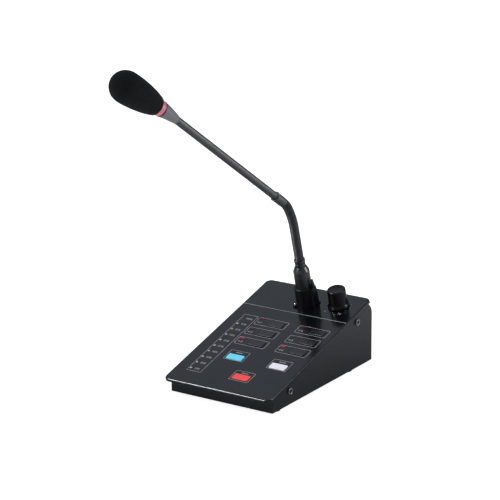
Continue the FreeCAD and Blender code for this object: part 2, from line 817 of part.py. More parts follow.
# Keys, lamps and the board that carries them
def make_key(label, x, up, width, depth):
    """A key cap with the flange that keeps it in its window, and its stem."""
    body = new_body(label, in_panel(x, up))
    cap = sketch_on(body, "XY_Plane", "cap", key_height)
    rounded_box(cap, -width / 2, -depth / 2, width / 2, depth / 2, key_corner)
    block = pad(body, cap, key_height + key_hidden, "block", reverse=True)
    soften("Chamfer", body, block, key_edge, "cap_edges", at_height(float(key_height)))
    flange = sketch_on(body, "XY_Plane", "flange", -key_hidden)
    rectangle(flange, 0.0, 0.0, width + 2 * key_flange_lip, depth + 2 * key_flange_lip)
    pad(body, flange, key_flange, "keeper", reverse=True)
    stem = sketch_on(body, "XY_Plane", "stem", -(key_hidden + key_flange))
    rectangle(stem, 0.0, 0.0, key_stem_side, key_stem_side)
    stem_end = board_drop - switch_height - key_travel - switch_clearance
    pad(body, stem, stem_end - key_hidden - key_flange, "stem_pad", reverse=True)


def make_switches():
    body = new_body("key_switches", panel)
    cases = sketch_on(body, "XY_Plane", "cases", -board_drop)
    for _, x, up in list(channel_keys()) + list(colour_keys()):
        rectangle(cases, x, up, switch_side, switch_side)
    pad(body, cases, switch_height, "bodies")
    return body


def make_channel_lamps():
    body = new_body("channel_lamps", panel)
    faces = sketch_on(body, "XY_Plane", "faces", lamp_proud)
    for _, x, up in channel_keys():
        rectangle(faces, x + lamp_from_key_x, up + lamp_from_key_up, lamp_width, lamp_depth)
    pad(body, faces, lamp_proud + board_drop, "lamps", reverse=True)
    return body


def make_meter_lamps():
    body = new_body("meter_lamps", panel)
    rounds = sketch_on(body, "XY_Plane", "rounds", meter_lamp_proud)
    for number in range(meter_count):
        circle(rounds, meter_x, meter_low + number * meter_pitch, meter_lamp_radius)
    pad(body, rounds, meter_lamp_proud + board_drop, "lamps", reverse=True)


def make_board():
    body = new_body("main_board", panel)
    blank = sketch_on(body, "XY_Plane", "blank", -board_drop)
    rectangle(blank, 0.0, board_front + board_length / 2, board_width, board_length)
    for x, up in board_fixings():
        circle(blank, x, up, board_screw_radius / 2 + screw_hole_gap)
    pad(body, blank, board_sheet, "sheet", reverse=True)
    return body


def make_board_fixings():
    posts = new_body("board_standoffs", panel)
    post_hexagons = sketch_on(posts, "XY_Plane", "hexagons", -board_drop)
    for x, up in board_fixings():
        hexagon(post_hexagons, x, up, standoff_radius)
    pad(posts, post_hexagons, board_drop - plate_sheet, "posts")
    screws = new_body("board_screws", panel)
    heads = sketch_on(screws, "XY_Plane", "heads", -(board_drop + board_sheet))
    shanks = sketch_on(screws, "XY_Plane", "shanks", -(board_drop + board_sheet))
    for x, up in board_fixings():
        hexagon(heads, x, up, board_screw_radius)
        circle(shanks, x, up, board_screw_radius / 2)
    pad(screws, heads, board_screw_height, "head", reverse=True)
    pad(screws, shanks, board_sheet, "shank")


# Volume control
def make_volume():
    place = in_panel(knob_x, knob_up)
    under = -plate_sheet
    bore = shaft_radius + shaft_running_gap
    turned("potentiometer", [
        (bore, under - pot_depth),
        (pot_radius, under - pot_depth),
        (pot_radius, under),
        (bushing_radius, under),
        (bushing_radius, bushing_height),
        (bore, bushing_height),
    ], place)
    washer_bore = bushing_radius + thread_gap
    turned("control_washer", [
        (washer_bore, 0.0),
        (washer_radius, 0.0),
        (washer_radius, washer_sheet),
        (washer_bore, washer_sheet),
    ], place)
    nut = new_body("control_nut", place)
    flats = sketch_on(nut, "XY_Plane", "flats", washer_sheet)
    hexagon(flats, 0.0, 0.0, nut_radius)
    circle(flats, 0.0, 0.0, washer_bore)
    pad(nut, flats, nut_height, "nut")

    shaft = new_body("control_shaft", place)
    spin(shaft, [
        (0.0, under - pot_depth),
        (shaft_radius, under - pot_depth),
        (shaft_radius, shaft_top),
        (0.0, shaft_top),
    ])

    knob = new_body("volume_knob", place)
    socket_bore = shaft_radius + thread_gap
    skirt_top = knob_rise + knob_skirt_height
    spin(knob, [
        (knob_hollow_radius, knob_rise),
        (knob_skirt_radius, knob_rise),
        (knob_skirt_radius, knob_rise + knob_skirt_rim),
        (knob_base_radius, skirt_top),
        (knob_top_radius, knob_height - knob_bevel),
        (knob_top_radius - knob_bevel, knob_height),
        (0.0, knob_height),
        (0.0, shaft_top + seam_gap),
        (socket_bore, shaft_top + seam_gap),
        (socket_bore, knob_rise + knob_hollow_height),
        (knob_hollow_radius, knob_rise + knob_hollow_height),
    ])


# Plug socket, its latch and its screws
def make_socket():
    body = new_body("socket_shell", seat)
    bore = plug_radius + bore_gap
    base = sketch_on(body, "XY_Plane", "flange")
    circle(base, 0.0, 0.0, flange_radius)
    pad(body, base, flange_height, "flange_pad")
    for side in (-1, 1):
        ear = sketch_on(body, "XY_Plane", "ear" if side > 0 else "other_ear")
        circle(ear, side * ear_x, side * ear_up, ear_radius)
        pad(body, ear, flange_height, "ear_pad" if side > 0 else "other_ear_pad")
    housing = sketch_on(body, "XZ_Plane", "latch_housing")
    outline(housing, [
        (latch_inner, 0.0),
        (latch_reach_foot, 0.0),
        (latch_reach_mid, latch_mid_height),
        (latch_reach_top, barrel_height),
        (latch_inner, barrel_height),
    ])
    pad(body, housing, latch_width, "latch_ridge", both=True)
    spin(body, [
        (0.0, -barrel_below),
        (barrel_rear_radius, -barrel_below),
        (barrel_rear_radius, 0.0),
        (barrel_foot_radius, 0.0),
        (barrel_foot_radius, flange_height),
        (barrel_top_radius, barrel_height - barrel_edge),
        (barrel_top_radius - barrel_edge, barrel_height),
        (0.0, barrel_height),
    ], name="barrel")
    spin(body, [
        (0.0, -barrel_below + bore_floor),
        (bore, -barrel_below + bore_floor),
        (bore, barrel_height + seam_gap),
        (0.0, barrel_height + seam_gap),
    ], kind="Groove", name="bore")
    slot = sketch_on(body, "XY_Plane", "slot", barrel_height + seam_gap)
    slot_end = latch_inner + tab_sheet + tab_gap
    rectangle(slot, (bore - 1.0 + slot_end) / 2, 0.0, slot_end - bore + 1.0, latch_slot_width)
    pocket(body, slot, latch_slot_depth, "slot_cut")
    pockets = sketch_on(body, "XY_Plane", "screw_pockets", flange_height)
    for side in (-1, 1):
        circle(pockets, side * ear_x, side * ear_up, flange_screw_pocket)
    pocket(body, pockets, barrel_height, "screw_pocket_cuts", reverse=True)
    holes = sketch_on(body, "XY_Plane", "screw_holes", flange_height)
    for side in (-1, 1):
        circle(holes, side * ear_x, side * ear_up, flange_screw_shank + screw_hole_gap)
    pocket(body, holes, flange_height, "screw_hole_cuts")


def make_latch_tab():
    """The release tab: it stands in the slot of the latch housing and is pushed down."""
    body = new_body("latch_tab", seat)
    low = barrel_height - latch_slot_depth + seam_gap + tab_travel + tab_gap
    inner = latch_inner
    profile = sketch_on(body, "XZ_Plane", "profile")
    outline(profile, [
        (inner, low),
        (inner + tab_sheet, low),
        (inner + tab_sheet, tab_top - tab_thumb_height),
        (inner + tab_sheet + tab_thumb_reach, tab_top - tab_thumb_height + tab_thumb_reach),
        (inner + tab_sheet + tab_thumb_reach, tab_top - tab_thumb_height + tab_thumb_rise),
        (inner + tab_sheet, tab_top),
        (inner, tab_top),
    ])
    pad(body, profile, latch_slot_width - 2 * tab_gap, "blade", both=True)


def make_socket_insert():
    """The block with the three contact wells, on the floor of the socket's bore, in line with the pins."""
    body = new_body("socket_insert", neck)
    floor_level = -barrel_below + bore_floor
    radius = plug_radius - plug_wall - insert_gap
    blank = sketch_on(body, "XY_Plane", "blank", floor_level)
    circle(blank, 0.0, 0.0, radius)
    pad(body, blank, insert_height - floor_level, "block")
    wells = sketch_on(body, "XY_Plane", "wells", insert_height)
    pin_circles(wells, pin_radius + pin_hole_gap)
    pocket(body, wells, pin_length, "well_cuts")


def pin_circles(sketch, radius):
    for number in range(pin_count):
        turn = math.radians(90 + 360 / pin_count * number)
        circle(sketch, pin_circle_radius * math.cos(turn), pin_circle_radius * math.sin(turn), radius)


def make_flange_screws():
    body = new_body("socket_screws", seat)
    heads = sketch_on(body, "XY_Plane", "heads", flange_height)
    for side in (-1, 1):
        circle(heads, side * ear_x, side * ear_up, flange_screw_radius)
    head = pad(body, heads, flange_screw_height, "head")
    soften("Chamfer", body, head, flange_screw_bevel, "head_edges",
           at_height(float(flange_height + flange_screw_height)))
    shanks = sketch_on(body, "XY_Plane", "shanks", flange_height)
    for side in (-1, 1):
        circle(shanks, side * ear_x, side * ear_up, flange_screw_shank)
    pad(body, shanks, flange_screw_length, "shank", reverse=True)


# Plug and gooseneck
def make_plug():
    inside = plug_radius - plug_wall
    turned("plug_shell", [
        (inside, plug_bottom),
        (plug_radius, plug_bottom),
        (plug_radius, plug_waist_low),
        (plug_waist_radius, plug_waist_low + plug_waist_step),
        (plug_waist_radius, plug_shoulder_low),
        (plug_top_radius, plug_shoulder_top),
        (plug_throat_radius, plug_shoulder_top),
        (plug_throat_radius, plug_shoulder_low),
        (inside, plug_shoulder_low - plug_throat_drop),
    ], neck)
    insert = new_body("plug_insert", neck)
    disc = sketch_on(insert, "XY_Plane", "disc", plug_floor)
    circle(disc, 0.0, 0.0, inside - insert_gap)
    pad(insert, disc, plug_shoulder_low - plug_throat_drop - plug_floor, "block")
    pins = new_body("plug_pins", neck)
    rounds = sketch_on(pins, "XY_Plane", "rounds", plug_floor)
    pin_circles(rounds, pin_radius)
    pad(pins, rounds, pin_length, "pins", reverse=True)
    turned("plug_bush", [
        (coil_spigot_radius + joint_gap, plug_shoulder_top),
        (bush_radius, plug_shoulder_top),
        (bush_radius, bush_groove_low),
        (bush_groove_radius, bush_groove_low),
        (bush_groove_radius, bush_groove_top),
        (bush_ring_radius, bush_groove_top),
        (bush_ring_radius, neck_base),
        (coil_spigot_radius + joint_gap, neck_base),
    ], neck)


hinge_pitch = flexible_length / hinge_count
hinge_places = [hinge_pitch * (number + 0.5) for number in range(hinge_count)]


def ring_of(radius, distance):
    """Circle square to the centre line."""
    ring = Part.Wire(Part.makeCircle(float(radius), ORIGIN, Z_AXIS))
    ring.Placement = neck.inverse().multiply(along(distance))
    return ring


def ribbed(start, end, ribs):
    """Tube with ribs and a smooth bore, from one place on the centre line to another."""
    steps = 2 * ribs
    places = [start + (end - start) * step / steps for step in range(steps + 1)]
    rings = []
    for step, place in enumerate(places):
        rings.append(ring_of(coil_crest_radius if step % 2 else coil_root_radius, place))
    bore = [ring_of(coil_bore_radius, place) for place in (start, end)]
    return Part.makeLoft(rings, True, True).cut(Part.makeLoft(bore, True, True))


def make_gooseneck():
    """The flexible part, in one piece from each of its joints to the next."""
    ends = [0.0] + hinge_places + [flexible_length + float(collar_grip)]
    for number, (start, end) in enumerate(zip(ends, ends[1:])):
        ribs = round(ribs_between_hinges * (end - start) / hinge_pitch)
        shape = ribbed(start, end, ribs)
        if number == 0:
            foot = Vector(0, 0, neck_base - coil_spigot_length)
            spigot = Part.makeCylinder(float(coil_spigot_radius), float(coil_spigot_length), foot, Z_AXIS)
            bore = Part.makeCylinder(float(coil_bore_radius), float(coil_spigot_length), foot, Z_AXIS)
            shape = shape.fuse(spigot.cut(bore))
        new_shape(f"gooseneck_coil_{number + 1}", shape, neck)


def make_collar_and_tube():
    foot = along(flexible_length)
    bore = tube_radius + joint_gap
    floor_level = collar_length - tube_in_collar
    mouth = coil_crest_radius + joint_gap
    turned("neck_collar", [
        (coil_bore_radius, collar_grip),
        (mouth, collar_grip),
        (mouth, 0.0),
        (collar_foot_radius, 0.0),
        (collar_radius, collar_taper_length),
        (collar_radius, collar_length - collar_rim_length - collar_rim_step),
        (collar_rim_radius, collar_length - collar_rim_length),
        (collar_rim_radius, collar_length),
        (collar_recess_radius, collar_length),
        (collar_recess_radius, collar_length - collar_recess_depth),
        (bore, collar_length - collar_recess_depth),
        (bore, floor_level),
        (coil_bore_radius, floor_level),
    ], foot)
    tube_length = tube_in_collar + tube_visible + tube_in_head
    turned("upper_tube", [
        (tube_radius - tube_wall, 0.0),
        (tube_radius, 0.0),
        (tube_radius, tube_length),
        (tube_radius - tube_wall, tube_length),
    ], along(flexible_length + float(floor_level)))


head_start = flexible_length + float(collar_length + tube_visible)
cone_foot = along(head_start)


def cone_bend(angle):
    """Where the cone's axis bends, turned by an angle."""
    return Placement(Vector(0, 0, cone_kink_at), Rotation(Y_AXIS, angle))


head = cone_foot.multiply(cone_bend(head_droop)).multiply(
    Placement(Vector(0, 0, cone_length - cone_kink_at), Rotation()))


def make_head_cone():
    """Tapered housing whose axis bends down a little between the tube and the light ring."""
    body = new_body("head_cone", cone_foot)
    share = cone_kink_at / cone_length
    middle = cone_small_radius + (cone_large_radius - cone_small_radius) * share
    sections = []
    for name, frame, radius in (
        ("foot", cone_foot, cone_small_radius),
        ("bend", cone_foot.multiply(cone_bend(head_droop / 2)), middle),
        ("mouth", head, cone_large_radius),
    ):
        section = sketch_on(body, "XY_Plane", name)
        section.AttachmentOffset = cone_foot.inverse().multiply(frame)
        circle(section, 0.0, 0.0, radius)
        sections.append(section)
    doc.recompute()
    cone = body.newObject("PartDesign::AdditiveLoft", "head_cone_loft")
    cone.Profile = sections[0]
    cone.Sections = sections[1:]
    cone.Ruled = True
    seat_for_tube = sketch_on(body, "XY_Plane", "tube_seat")
    circle(seat_for_tube, 0.0, 0.0, tube_radius + joint_gap)
    pocket(body, seat_for_tube, tube_in_head + joint_gap, "tube_hole", reverse=True)


def make_light_ring():
    turned("light_ring", [
        (ring_bore_radius, 0.0),
        (ring_radius - ring_edge, 0.0),
        (ring_radius, ring_edge),
        (ring_radius, ring_length - ring_edge),
        (ring_radius - ring_edge, ring_length),
        (ring_bore_radius, ring_length),
    ], head)


def make_capsule_parts():
    place = head.multiply(Placement(Vector(0, 0, ring_length), Rotation()))
    cage = new_body("capsule_cage", place)
    nose = cage_length - cage_shoulder
    inner = cage_radius - cage_wall
    spin(cage, [
        (inner, 0.0),
        (cage_radius, 0.0),
        (cage_radius, nose),
        (cage_radius - cage_shoulder, cage_length),
        (0.0, cage_length),
        (0.0, cage_length - cage_wall),
        (inner - cage_shoulder, cage_length - cage_wall),
        (inner, nose),
    ])
    windows = sketch_on(cage, "XZ_Plane", "window")
    window_middle = cage_window_start + cage_window_length / 2
    rectangle(windows, 0.0, window_middle, cage_window_width, cage_window_length)
    first = pocket(cage, windows, cage_radius + cage_wall, "window_cut")
    doc.recompute()
    row = cage.newObject("PartDesign::PolarPattern", "capsule_cage_windows")
    row.Originals = [first]
    row.Axis = (windows, ["V_Axis"])
    row.Angle = 360.0
    row.Occurrences = cage_window_count
    cage.Tip = row

    seat_radius = cage_radius - cage_wall - joint_gap
    turned("capsule_holder", [
        (capsule_radius + joint_gap, 0.0),
        (seat_radius, 0.0),
        (seat_radius, holder_length),
        (capsule_radius + joint_gap, holder_length),
    ], place)
    capsule = new_body("mic_capsule", place)
    spin(capsule, [
        (0.0, holder_length - capsule_length),
        (capsule_radius, holder_length - capsule_length),
        (capsule_radius, holder_length + capsule_proud),
        (0.0, holder_length + capsule_proud),
    ])


def make_windscreen():
    """Foam ball over the cage: a swelling flank up to its widest place, then a half ellipse."""
    nose = foam_radius + foam_nose_extra
    flank = []
    for step in range(foam_flank_steps):
        share = step / foam_flank_steps
        swell = math.sin(math.radians(90 * share)) ** foam_fullness
        flank.append((foam_rim_radius + (foam_radius - foam_rim_radius) * swell,
                      foam_rim_height + (foam_widest_at - foam_rim_height) * share))
    tip = []
    for step in range(foam_tip_steps):
        turn = math.radians(90 * step / foam_tip_steps)
        tip.append((foam_radius * math.cos(turn), foam_widest_at + nose * math.sin(turn)))
    bore = cage_radius + foam_gap
    turned("windscreen", [
        (bore, 0.0),
        (foam_start_radius, 0.0),
        *flank,
        *tip,
        (0.0, foam_widest_at + nose),
        (0.0, cage_length + foam_gap),
        (bore, cage_length + foam_gap),
    ], head.multiply(Placement(Vector(0, 0, ring_length), Rotation())))


# Rear sockets
def make_rear_sockets():
    back = base_depth - base_sheet
    front = back - rear_board_depth
    board = new_body("rear_board", floor_of_base)
    blank = sketch_on(board, "XY_Plane", "blank", rear_board_height)
    rectangle(blank, 0.0, back - rear_board_gap - rear_board_depth / 2, rear_board_width, rear_board_depth)
    pad(board, blank, board_sheet, "sheet")
    posts = new_body("rear_standoffs", floor_of_base)
    sections = sketch_on(posts, "XY_Plane", "sections", base_sheet)
    for side in (-1, 1):
        x = side * (rear_board_width / 2 - standoff_inset)
        hexagon(sections, x, front + standoff_inset, standoff_radius)
        hexagon(sections, x, back - rear_board_gap - standoff_inset, standoff_radius)
    pad(posts, sections, rear_board_height - base_sheet, "posts")

    board_top = rear_board_height + board_sheet
    link = new_body("link_socket", floor_of_base)
    case = sketch_on(link, "XY_Plane", "case", board_top)
    face = base_depth
    rectangle(case, link_x, face - link_depth / 2, link_width, link_depth)
    pad(link, case, link_height, "block")
    mouth = sketch_on(link, "XZ_Plane", "mouth", -face)
    low = board_top + link_mouth_lift
    high = low + link_mouth_height
    half = link_mouth_width / 2
    notch = link_notch_width / 2
    outline(mouth, [
        (link_x - half, high),
        (link_x - half, low),
        (link_x - notch, low),
        (link_x - notch, low - link_notch_height),
        (link_x + notch, low - link_notch_height),
        (link_x + notch, low),
        (link_x + half, low),
        (link_x + half, high),
    ])
    pocket(link, mouth, link_mouth_depth, "mouth_cut", reverse=True)

    power = new_body("power_inlet", floor_of_base)
    block = sketch_on(power, "XY_Plane", "block", board_top)
    power_face = back - seam_gap
    rectangle(block, power_x, power_face - power_depth / 2, power_width, power_depth)
    pad(power, block, power_height, "block_pad")
    bore = sketch_on(power, "XZ_Plane", "bore", -power_face)
    circle(bore, power_x, board_top + power_lift, power_bore_radius)
    circle(bore, power_x, board_top + power_lift, power_pin_radius)
    pocket(power, bore, power_depth - power_back_wall, "bore_cut", reverse=True)


make_top_plate()
make_base_tray()
make_rear_panel()
make_feet()
make_side_screws()
make_cover_brackets()
for key_label, key_x, key_up in channel_keys():
    make_key(key_label, key_x, key_up, channel_key_width, channel_key_depth)
for key_label, key_x, key_up in colour_keys():
    make_key(key_label, key_x, key_up, colour_key_width, colour_key_depth)
make_switches()
make_channel_lamps()
make_meter_lamps()
make_board()
make_board_fixings()
make_volume()
make_socket()
make_latch_tab()
make_socket_insert()
make_flange_screws()
make_plug()
make_gooseneck()
make_collar_and_tube()
make_head_cone()
make_light_ring()
make_capsule_parts()
make_windscreen()
make_rear_sockets()
doc.recompute()

faults = []
for thing in doc.Objects:
    if "Invalid" in thing.State or "Error" in thing.State:
        faults.append(thing.Name)
for thing in finished:
    if thing.Shape.isNull() or not thing.Shape.isValid() or not thing.Shape.Solids:
        faults.append(f"{thing.Label} has no valid solid")
if faults:
    raise SystemExit("Failed: " + ", ".join(faults))

os.makedirs("parts", exist_ok=True)
for thing in finished:
    thing.Shape.exportStep(f"parts/{thing.Label}.step")
print("neck axis points", [tuple(round(v, 2) for v in along(place).Base) for place in hinge_places])
print("parts", len(finished), "solids", sum(len(thing.Shape.Solids) for thing in finished))
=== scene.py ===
"""Looks of a desktop paging microphone: a sloping key console and a plug-in gooseneck microphone.

Sizes in the classes are millimetres in the console's own frame; meshes are made in metres.
"""

import json
import logging
import math
from dataclasses import dataclass
from enum import Enum
from typing import Iterator, Sequence

import bmesh
import bpy
from mathutils import Matrix, Vector, noise


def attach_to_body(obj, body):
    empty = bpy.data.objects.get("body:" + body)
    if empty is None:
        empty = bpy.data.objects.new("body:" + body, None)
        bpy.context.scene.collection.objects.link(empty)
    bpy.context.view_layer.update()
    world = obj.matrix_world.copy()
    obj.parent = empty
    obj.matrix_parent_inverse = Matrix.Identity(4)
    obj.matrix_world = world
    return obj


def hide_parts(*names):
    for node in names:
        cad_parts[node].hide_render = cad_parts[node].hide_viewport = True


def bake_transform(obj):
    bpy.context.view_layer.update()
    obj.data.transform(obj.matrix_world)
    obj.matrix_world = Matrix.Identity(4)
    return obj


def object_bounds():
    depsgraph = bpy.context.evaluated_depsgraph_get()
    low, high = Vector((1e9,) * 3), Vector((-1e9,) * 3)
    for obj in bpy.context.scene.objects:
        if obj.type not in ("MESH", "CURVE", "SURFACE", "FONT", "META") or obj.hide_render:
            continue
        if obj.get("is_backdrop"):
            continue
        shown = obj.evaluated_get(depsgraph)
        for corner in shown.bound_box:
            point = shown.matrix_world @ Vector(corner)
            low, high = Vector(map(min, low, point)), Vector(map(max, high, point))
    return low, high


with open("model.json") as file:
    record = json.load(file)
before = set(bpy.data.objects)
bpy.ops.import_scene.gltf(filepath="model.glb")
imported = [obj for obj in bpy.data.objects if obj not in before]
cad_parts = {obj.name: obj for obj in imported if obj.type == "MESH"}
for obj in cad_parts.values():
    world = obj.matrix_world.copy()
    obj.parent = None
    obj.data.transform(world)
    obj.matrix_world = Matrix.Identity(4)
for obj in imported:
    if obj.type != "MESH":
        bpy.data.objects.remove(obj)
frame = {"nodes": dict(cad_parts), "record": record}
CAD_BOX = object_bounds()
MM = 0.001
BODY_OF = {node: body for body, group in frame["record"]["behaviour"]["bodies"].items() for node in group}

log = logging.getLogger("paging_microphone")
Triple = tuple[float, float, float]
Pair = tuple[float, float]
Sizes = dict[str, float | int]
Socket = bpy.types.NodeSocket
Solid = tuple[list[Vector], list[tuple[int, ...]]]
Station = tuple[Matrix, float]


def at(x: float, y: float, z: float) -> Matrix:
    """A frame moved by three distances."""
    return Matrix.Translation((x, y, z))


def turn(axis: str, degrees: float) -> Matrix:
    """A frame turned about one of its axes."""
    return Matrix.Rotation(math.radians(degrees), 4, axis)


def bow(angle: float, radius: float) -> Matrix:
    """A frame carried along an arc towards its own x, by an angle in radians."""
    end = at(radius * (1.0 - math.cos(angle)), 0.0, radius * math.sin(angle))
    return end @ turn("Y", math.degrees(angle))


@dataclass(frozen=True)
class Layout:
    """Where things stand on the sloping cover, in millimetres and degrees."""

    front: Pair = (-106.6, 24.4)
    slope: float = 15.33
    width: float = 144.0
    socket: Pair = (5.0, 177.8)
    knob: Pair = (43.2, 187.0)
    neck_yaw: float = 22.0
    lamp_low: float = 90.3
    lamp_pitch: float = 21.34
    meter_low: float = 17.5
    meter_pitch: float = 12.26
    meter_count: int = 10

    def panel(self) -> Matrix:
        """Frame of the cover's top: x to the right, y up the slope, z out of it."""
        return at(0.0, *self.front) @ turn("X", self.slope)

    def seat(self) -> Matrix:
        """Frame on the cover at the socket's centre."""
        return self.panel() @ at(*self.socket, 0.0)

    def neck(self) -> Matrix:
        """Frame of the plug, turned so that the neck bends towards its own +x."""
        return self.seat() @ turn("Z", -90.0 - self.neck_yaw)


LAYOUT = Layout()


@dataclass(frozen=True)
class NeckPath:
    """Centre line beyond the plug's bush: a straight run, then bends of a radius and an angle."""

    base: float = 62.0
    straight: float = 41.4
    bends: tuple[Pair, ...] = ((99.0, 16.65), (26.0, 20.4))

    def flexible(self) -> float:
        """Length of the part that bends."""
        return self.straight + sum(math.radians(angle) * radius for radius, angle in self.bends)

    def along(self, distance: float) -> Matrix:
        """Frame on the centre line.

        Args:
            distance: millimetres beyond the top of the bush.

        Returns:
            The frame, its z along the line and its x towards the lean.
        """
        run = min(distance, self.straight)
        place = LAYOUT.neck() @ at(0.0, 0.0, self.base + run)
        left = distance - run
        for radius, angle in self.bends:
            bend = min(left / radius, math.radians(angle))
            place = place @ bow(bend, radius)
            left -= bend * radius
        return place @ at(0.0, 0.0, left)


NECK = NeckPath()


def spun(stations: Sequence[Station], segments: int = 72, closed: bool = False) -> Solid:
    """Skin through rings along an axis; a ring of no radius closes the end to a point.

    Args:
        stations: a frame and a radius for each ring, outside walls running forwards.
        segments: how many sides each ring has.
        closed: whether the last ring joins the first.

    Returns:
        Points in millimetres, and faces that look outwards.
    """
    points: list[Vector] = []
    rings: list[list[int]] = []
    for place, radius in stations:
        count = segments if radius > 0.0 else 1
        rings.append([len(points) + step % count for step in range(segments)])
        for angle in (2.0 * math.pi * step / segments for step in range(count)):
            points.append(place @ Vector((radius * math.cos(angle), radius * math.sin(angle), 0.0)))
    faces = []
    for low, high in list(zip(rings, rings[1:])) + ([(rings[-1], rings[0])] if closed else []):
        for step in range(segments):
            after = (step + 1) % segments
            face = tuple(dict.fromkeys((low[step], low[after], high[after], high[step])))
            if len(face) > 2:
                faces.append(face)
    return points, faces


def lathe(profile: Sequence[Pair], place: Matrix, segments: int = 72, closed: bool = False) -> Solid:
    """Spins an outline of radius and height pairs about the z axis of a frame."""
    return spun([(place @ at(0.0, 0.0, height), radius) for radius, height in profile], segments, closed)


def arc(centre: Pair, radius: Pair, start: float, end: float, steps: int = 6) -> list[Pair]:
    """Points of an elliptical arc, from one angle in degrees to another."""
    angles = [math.radians(start + (end - start) * step / steps) for step in range(steps + 1)]
    return [(centre[0] + radius[0] * math.cos(a), centre[1] + radius[1] * math.sin(a)) for a in angles]


def prism(outline: Sequence[Pair], low: float, high: float, place: Matrix) -> Solid:
    """Makes a flat outline solid between two heights.

    Args:
        outline: its corners, counter-clockwise.
        low: height of the lower face.
        high: height of the upper face.
        place: the frame that the outline lies in.

    Returns:
        Points in millimetres, and faces that look outwards.
    """
    count = len(outline)
    points = [place @ Vector((x, y, z)) for z in (low, high) for x, y in outline]
    faces = [tuple(reversed(range(count))), tuple(range(count, 2 * count))]
    for step in range(count):
        after = (step + 1) % count
        faces.append((step, after, count + after, count + step))
    return points, faces


def merged(solids: Sequence[Solid]) -> Solid:
    """Puts several solids into one.

    Args:
        solids: points and faces of each.

    Returns:
        One list of points and one of faces.
    """
    points: list[Vector] = []
    faces: list[tuple[int, ...]] = []
    for more_points, more_faces in solids:
        first = len(points)
        points += more_points
        faces += [tuple(first + corner for corner in face) for face in more_faces]
    return points, faces


def linked(name: str, data: bpy.types.ID) -> bpy.types.Object:
    """Puts data into the scene.

    Args:
        name: the new object's name.
        data: its mesh, curve, light or camera.

    Returns:
        The object, at the origin.
    """
    thing = bpy.data.objects.new(name, data)
    bpy.context.scene.collection.objects.link(thing)
    return thing


def baked(thing: bpy.types.Object) -> bpy.types.Mesh:
    """A plain mesh of an object, as its modifiers leave it."""
    return bpy.data.meshes.new_from_object(thing.evaluated_get(bpy.context.evaluated_depsgraph_get()))


def smooth(mesh: bpy.types.Mesh, sharp: float) -> None:
    """Shades a mesh smooth, but for the edges that turn by more than an angle in degrees."""
    mesh.shade_smooth()
    mesh.set_sharp_from_angle(angle=math.radians(sharp))


def new_piece(name: str, solid: Solid, material: bpy.types.Material, sharp: float = 32.0) -> bpy.types.Object:
    """Makes a mesh piece whose place is in its mesh.

    Args:
        name: the piece's name.
        solid: its points in millimetres and its faces.
        material: the finish over all of it.
        sharp: edges that turn by more than this stay crisp.

    Returns:
        The new object, at the origin.
    """
    mesh = bpy.data.meshes.new(name)
    mesh.from_pydata([tuple(MM * point) for point in solid[0]], [], solid[1])
    mesh.validate()
    mesh.materials.append(material)
    smooth(mesh, sharp)
    return linked(name, mesh)


def attach(piece: bpy.types.Object, node: str) -> None:
    """Makes a piece ride where a node does.

    Args:
        piece: the piece.
        node: the solid whose body it takes.
    """
    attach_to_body(piece, BODY_OF[node])
    log.info("%s rides on %s", piece.name, BODY_OF[node])


def settle(piece: bpy.types.Object, node: str) -> None:
    """Makes a piece ride where a node does, and stand for it."""
    attach(piece, node)
    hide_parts(node)


def skin_of(node: str, material: bpy.types.Material) -> bpy.types.Object:
    """Copies a rigid solid's mesh, its triangles joined.

    Args:
        node: the solid's name.
        material: its finish.

    Returns:
        The copy, which has the solid's own shape.
    """
    mesh = bpy.data.meshes.new(f"{node}_skin")
    copy = bmesh.new()
    copy.from_mesh(frame["nodes"][node].data)
    bmesh.ops.remove_doubles(copy, verts=copy.verts, dist=1e-6)
    copy.to_mesh(mesh)
    copy.free()
    for layer in ("custom_normal", "sharp_edge", "sharp_face"):
        if layer in mesh.attributes:
            mesh.attributes.remove(mesh.attributes[layer])
    mesh.materials.clear()
    mesh.materials.append(material)
    return linked(f"{node}_skin", mesh)


def shade(piece: bpy.types.Object, sharp: float = 30.0) -> None:
    """Shades a piece smooth, its wide flats kept flat up to the bends beside them.

    Args:
        piece: the piece.
        sharp: edges that turn by more than this stay crisp.
    """
    plain = piece.data
    smooth(plain, sharp)
    piece.modifiers.new("weights", "WEIGHTED_NORMAL").keep_sharp = True
    piece.data = baked(piece)
    piece.modifiers.clear()
    bpy.data.meshes.remove(plain)


class Graph:
    """A node tree under construction, whose nodes' inputs are set by name."""

    def __init__(self, tree: bpy.types.NodeTree) -> None:
        """Keeps the tree that is built."""
        self.tree = tree

    def feed(self, socket: Socket, value: object) -> None:
        """Links an output to an input, or sets the input to a value.

        Args:
            socket: the input.
            value: an output or a plain value.
        """
        if isinstance(value, Socket):
            self.tree.links.new(value, socket)
        else:
            socket.default_value = value

    def fill(self, node: bpy.types.Node, **inputs: object) -> None:
        """Sets or links a node's inputs.

        Args:
            node: the node.
            inputs: a value or an output for each input, spaces as underscores.
        """
        for key, value in inputs.items():
            name = key.replace("_", " ")
            self.feed(next(item for item in node.inputs if item.name == name and item.enabled), value)

    def add(self, kind: str, settings: dict[str, object] | None = None, **inputs: object) -> bpy.types.Node:
        """Adds a node, sets its properties, then its inputs.

        Args:
            kind: the node's type.
            settings: properties of the node itself.
            inputs: as fill takes them.

        Returns:
            The node.
        """
        node = self.tree.nodes.new(kind)
        for key, value in (settings or {}).items():
            setattr(node, key, value)
        self.fill(node, **inputs)
        return node

    def out(self, kind: str, settings: dict[str, object] | None = None, **inputs: object) -> Socket:
        """Adds a node as add does, and gives the first output that it uses."""
        return next(item for item in self.add(kind, settings, **inputs).outputs if item.enabled)


